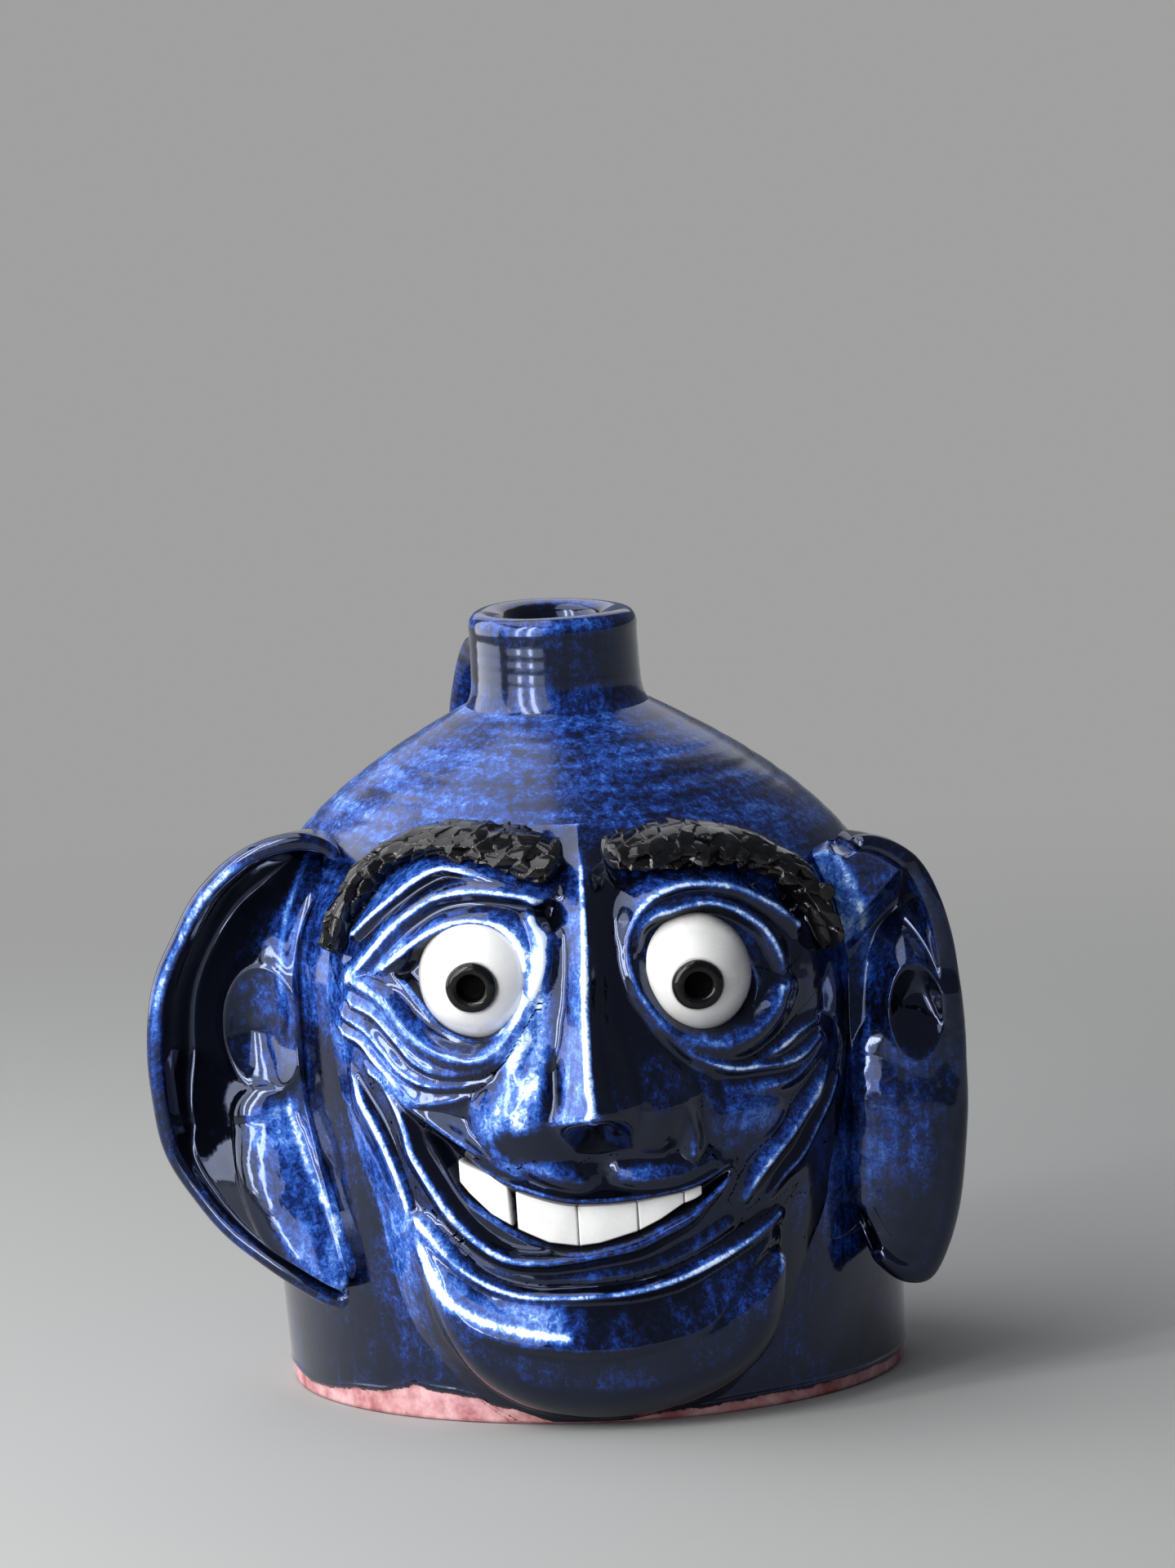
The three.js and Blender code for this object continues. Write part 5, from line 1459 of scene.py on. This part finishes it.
def ear(name, side, rim, rim_y, root, cup, bowl, lobe, flap, roll, hem, tones):
    """A cupped leaf of clay: a rim, a hollow inside it, a pressed bowl and a thick lobe by the root."""
    columns, rows = 84, 190
    rolled = roll > 0
    shares = np.linspace(0, 1, rows)
    edge = column([(x, z, y) for (x, z), y in zip(rim, rim_y)], shares)
    base = column([(BELLY_RADIUS * math.radians(angle), z) for angle, z in root], shares)
    start = on_wall(base[:, 0], base[:, 1], -2.5)
    stop = np.stack([BELLY_RADIUS + edge[:, 0], edge[:, 2], edge[:, 1]], axis=1)
    s = np.linspace(0, 1, columns)[:, None]
    span = np.minimum(1, np.linalg.norm(stop - start, axis=1) / 24)
    middle = start * (1 - s[..., None]) + stop * s[..., None]
    middle[..., 1] += cup * span * np.sin(np.pi * s**1.35)
    normal = grid_normals(middle)
    if normal[columns // 2, rows // 2, 1] > 0:
        normal = -normal
    reach = np.linalg.norm(middle - start, axis=2)
    to_rim = np.linalg.norm(middle - stop, axis=2)
    ends = np.minimum(shares, 1 - shares)
    thick = EAR_THICKNESS * (1 - 0.28 * s) * (0.72 + 0.28 * climb(ends, 0, 0.06))
    thick = thick * (0.2 + 0.8 * quarter_round(ends / 0.016)) + 3.0 * np.exp(-reach / 3.0)
    lip = 0.9 * bell(to_rim - 2.0, 2.0) - 0.8 * bell(to_rim - 8.0, 3.6)
    front = middle + normal * (thick / 2 + roll * lip * climb(reach, 0, 6))[..., None]
    x, z = front[..., 0] * side, front[..., 2]
    forward = -front[..., 1]
    lobe_level, in_lobe, inward = lobe_shape(x, z, **lobe)
    bowl_level, to_ring = bowl_shape(x, z, **bowl)
    shapes = [bowl_level, lobe_level]
    on_flap = 0
    if flap is not None:
        shapes.append(flap_shape(x, z, *flap))
        on_flap = climb(shapes[-1], forward, 1.5)
    raised = sum(np.exp(np.minimum(shape - forward, 40) / EAR_BLEND) for shape in shapes)
    settle = climb(to_rim, -hem, 5) * climb(ends, 0, 0.035 if rolled else 0.015)
    settle = settle * settle * (3 - 2 * settle)
    lumps = 0.2 * ripple(x, z, 9, 51) + 0.04 * ripple(x, z, 3, 52)
    front[..., 1] -= EAR_BLEND * np.log(1 + raised) * settle + lumps
    rear = middle - normal * (thick / 2 + 0.2 * ripple(x, z, 10, 53))[..., None]

    # The rim is a half round between the two sheets
    centre = (front[-1] + rear[-1]) / 2
    half = (front[-1] - rear[-1]) / 2
    outward = middle[-1] - middle[-2] if rolled else stop - start
    outward /= np.linalg.norm(outward, axis=1, keepdims=True)
    outward *= np.linalg.norm(half, axis=1, keepdims=True)
    steps = np.arange(1, RIM_STEPS)
    turn = (np.pi * steps / RIM_STEPS)[:, None, None]
    arc = centre + half * np.cos(turn) + outward * np.sin(turn)
    sheet = np.concatenate([front, arc, rear[::-1]])
    sheet[..., 0] *= side

    # Painted shade darkens the hollow, the pressed bowl and the groove round it, the inside of the rim, and
    # the left ear a little all over; the leaf is darker towards the bottom. The lobe and the root are paler;
    # painted highlight lightens the lobe's edge and the right ear's rim, and painted light the left ear's top
    # flap
    away = climb(s, 0.16, 0.22) * np.clip(1.6 - 1.5 * in_lobe, 0, 1)
    in_pit = climb(to_ring, 1.05, -0.2 if rolled else -0.6)
    low = climb(z, 54, -22)
    dark = tones["base"] + tones["hollow"] * np.maximum(away * (1 - in_pit), bell(to_rim, 5.0))
    dark = dark + tones["pit"] * in_pit + tones["ring"] * bell(to_ring - 1.05, 0.13) + tones["low"] * low
    # Painted shade in the strip beside the lobe
    beside = bell(in_lobe - 0.25, 0.3) * np.clip(inward * side * 3, 0, 1) * climb(z, 74, -4)
    dark = dark + 0.4 * beside * climb(to_rim, 4, 4)
    # Painted highlight along the lobe's edge
    painted_lobe_edge_highlight = bell(inward * -side - 0.72, 0.1) * in_lobe**0.25 * climb(z, 34, 8)
    root_line = bell(reach - 3.4, 1.1) * climb(z, 86, 10)
    pale = tones["lobe"] * in_lobe * (1 - low * (tones["low"] > 0)) + tones["flap"] * on_flap
    pale = pale + tones["painted_lobe_edge_highlight"] * painted_lobe_edge_highlight + tones["root"] * root_line
    # Painted highlight along the right ear's rim, high up
    painted_rim_highlight = tones["rim"] * climb(arc[..., 2], 82, 10) * climb(arc[..., 2], 127, -4)
    painted_rim_highlight *= bell(steps - 3.4, 1.5)[:, None]
    pool = np.concatenate([dark, np.full((len(arc) + columns, rows), 0.3)])
    lift = np.concatenate([pale, painted_rim_highlight, np.zeros((columns, rows))])
    rings = sheet.transpose(1, 0, 2)[::-side]
    values = {"bare": GLAZED, "pool": pool[:, ::-side], "lift": lift[:, ::-side]}
    make_tube(name + "_leaf", rings, BLUE, [name], values, crest_gain=0.45 if rolled else 0.2)


# Making of everything

thrown_body()
neck_collar()
strap_handle()
face_pieces()
for side, eye in EYES.items():
    eyeball(side, eye)
    pupil(side, eye)
for index, (left, right) in enumerate(TEETH, 1):
    tooth(index, left, right)
for name, shape in BROWS.items():
    brow(name, **shape)
for name, shape in EARS.items():
    ear(name, **shape)

# Stage, lights and camera

CAMERA_DISTANCE = 2900.0
CAMERA_PITCH = math.radians(8.8)
CAMERA_ROLL = math.radians(2.2)
FOCAL_PIXELS = 15558.0
IMAGE_SIZE = (1439, 1920)
FOOT_PIXEL = (734.5, 1667.5)
SENSOR = 36.0
STAGE_COLOR = (0.33, 0.33, 0.326)
STAGE_FAR_COLOR = (0.35, 0.355, 0.35)
STAGE_NEAR = 0.28
STAGE_FAR = 0.8
STAGE_RADIUS = 9.0
WORLD_COLOR = (0.8, 0.86, 1.0)
WORLD_STRENGTH = 0.14

# Lamps: spans of azimuth and elevation in degrees, distance in metres, and how bright a mirror shows them
LAMP_TARGET = (0, 0, 0.09)
LAMPS = {
    "window": ((-72, -13), (-4, 46), 0.85, 1.75),
    "pane_near": ((-37, -31), (-2, 52), 0.8, 12),
    "pane_far": ((-54, -48), (-2, 52), 0.8, 10),
    "window_side": ((-134, -76), (-7, 50), 0.75, 2.2),
    "window_top": ((-150, -30), (54, 87), 1.5, 1.7),
    "back": ((-205, -150), (14, 52), 1.5, 0.6),
}


def make_camera():
    """The camera at the photograph's viewing angle, placed so that the foot's middle falls on its pixel."""
    forward = Vector((0, math.cos(CAMERA_PITCH), -math.sin(CAMERA_PITCH)))
    right = Vector((1, 0, 0))
    up = right.cross(forward)
    image_x = right * math.cos(CAMERA_ROLL) - up * math.sin(CAMERA_ROLL)
    image_y = right * math.sin(CAMERA_ROLL) + up * math.cos(CAMERA_ROLL)
    aside = (FOOT_PIXEL[0] - IMAGE_SIZE[0] / 2) * CAMERA_DISTANCE / FOCAL_PIXELS
    below = (FOOT_PIXEL[1] - IMAGE_SIZE[1] / 2) * CAMERA_DISTANCE / FOCAL_PIXELS
    place = -(image_x * aside - image_y * below + forward * CAMERA_DISTANCE)
    data = bpy.data.cameras.new("camera")
    data.sensor_width = SENSOR
    data.lens = SENSOR * FOCAL_PIXELS / IMAGE_SIZE[1]
    data.clip_end = 20
    camera = bpy.data.objects.new("camera", data)
    turn = Matrix((image_x, image_y, -forward)).transposed().to_4x4()
    camera.matrix_world = Matrix.Translation(place * MM) @ turn
    bpy.context.scene.collection.objects.link(camera)
    bpy.context.scene.camera = camera


def make_stage():
    """A pale floor. Far from the jug, where no lamp reaches, it looks evenly pale."""
    n = Nodes("pale_stage")
    n.set(Base_Color=(*STAGE_COLOR, 1), Roughness=0.8)
    path = n.add("LightPath").outputs
    seen = n.math("ADD", path["Is Camera Ray"], path["Is Glossy Ray"])
    seen = n.math("ADD", seen, path["Is Transmission Ray"], clamp=True)
    length = n.add("VectorMath", {0: n.place}, operation="LENGTH").outputs["Value"]
    share = n.math("MULTIPLY", seen, n.span(length, STAGE_NEAR, STAGE_FAR))
    even = n.add("Emission", {"Color": (*STAGE_FAR_COLOR, 1)}).outputs[0]
    blend = n.add("MixShader", {0: share, 1: n.shader.outputs[0], 2: even}).outputs[0]
    n.put(blend, n.tree.nodes["Material Output"].inputs["Surface"])
    points = [(STAGE_RADIUS * math.cos(turn), STAGE_RADIUS * math.sin(turn), 0.0) for turn in turns(64)]
    mesh = bpy.data.meshes.new("stage")
    mesh.from_pydata(points, [], [tuple(range(len(points)))])
    mesh.materials.append(n.material)
    floor = bpy.data.objects.new("stage", mesh)
    bpy.context.scene.collection.objects.link(floor)


def make_lamp(name, azimuth, elevation, distance, radiance):
    """A rectangular lamp that fills a span of directions. Azimuth -90 is at the viewer's left."""
    a = math.radians(sum(azimuth) / 2)
    e = math.radians(sum(elevation) / 2)
    direction = Vector((math.sin(a) * math.cos(e), -math.cos(a) * math.cos(e), math.sin(e)))
    data = bpy.data.lights.new(name, "AREA")
    data.shape = "RECTANGLE"
    data.size = 2 * distance * math.tan(math.radians(azimuth[1] - azimuth[0]) / 2) * math.cos(e)
    data.size_y = 2 * distance * math.tan(math.radians(elevation[1] - elevation[0]) / 2)
    data.energy = radiance * 4 * data.size * data.size_y
    lamp = bpy.data.objects.new(name, data)
    lamp.location = Vector(LAMP_TARGET) + direction * distance
    lamp.rotation_euler = direction.to_track_quat("Z", "Y").to_euler()
    bpy.context.scene.collection.objects.link(lamp)


def make_world():
    """Dim even light from all round."""
    world = bpy.data.worlds.new("world")
    world.use_nodes = True
    background = world.node_tree.nodes["Background"].inputs
    background["Color"].default_value = (*WORLD_COLOR, 1)
    background["Strength"].default_value = WORLD_STRENGTH
    bpy.context.scene.world = world


make_camera()
make_stage()
make_world()
for name, lamp in LAMPS.items():
    make_lamp(name, *lamp)
bpy.context.scene.view_settings.view_transform = "Standard"
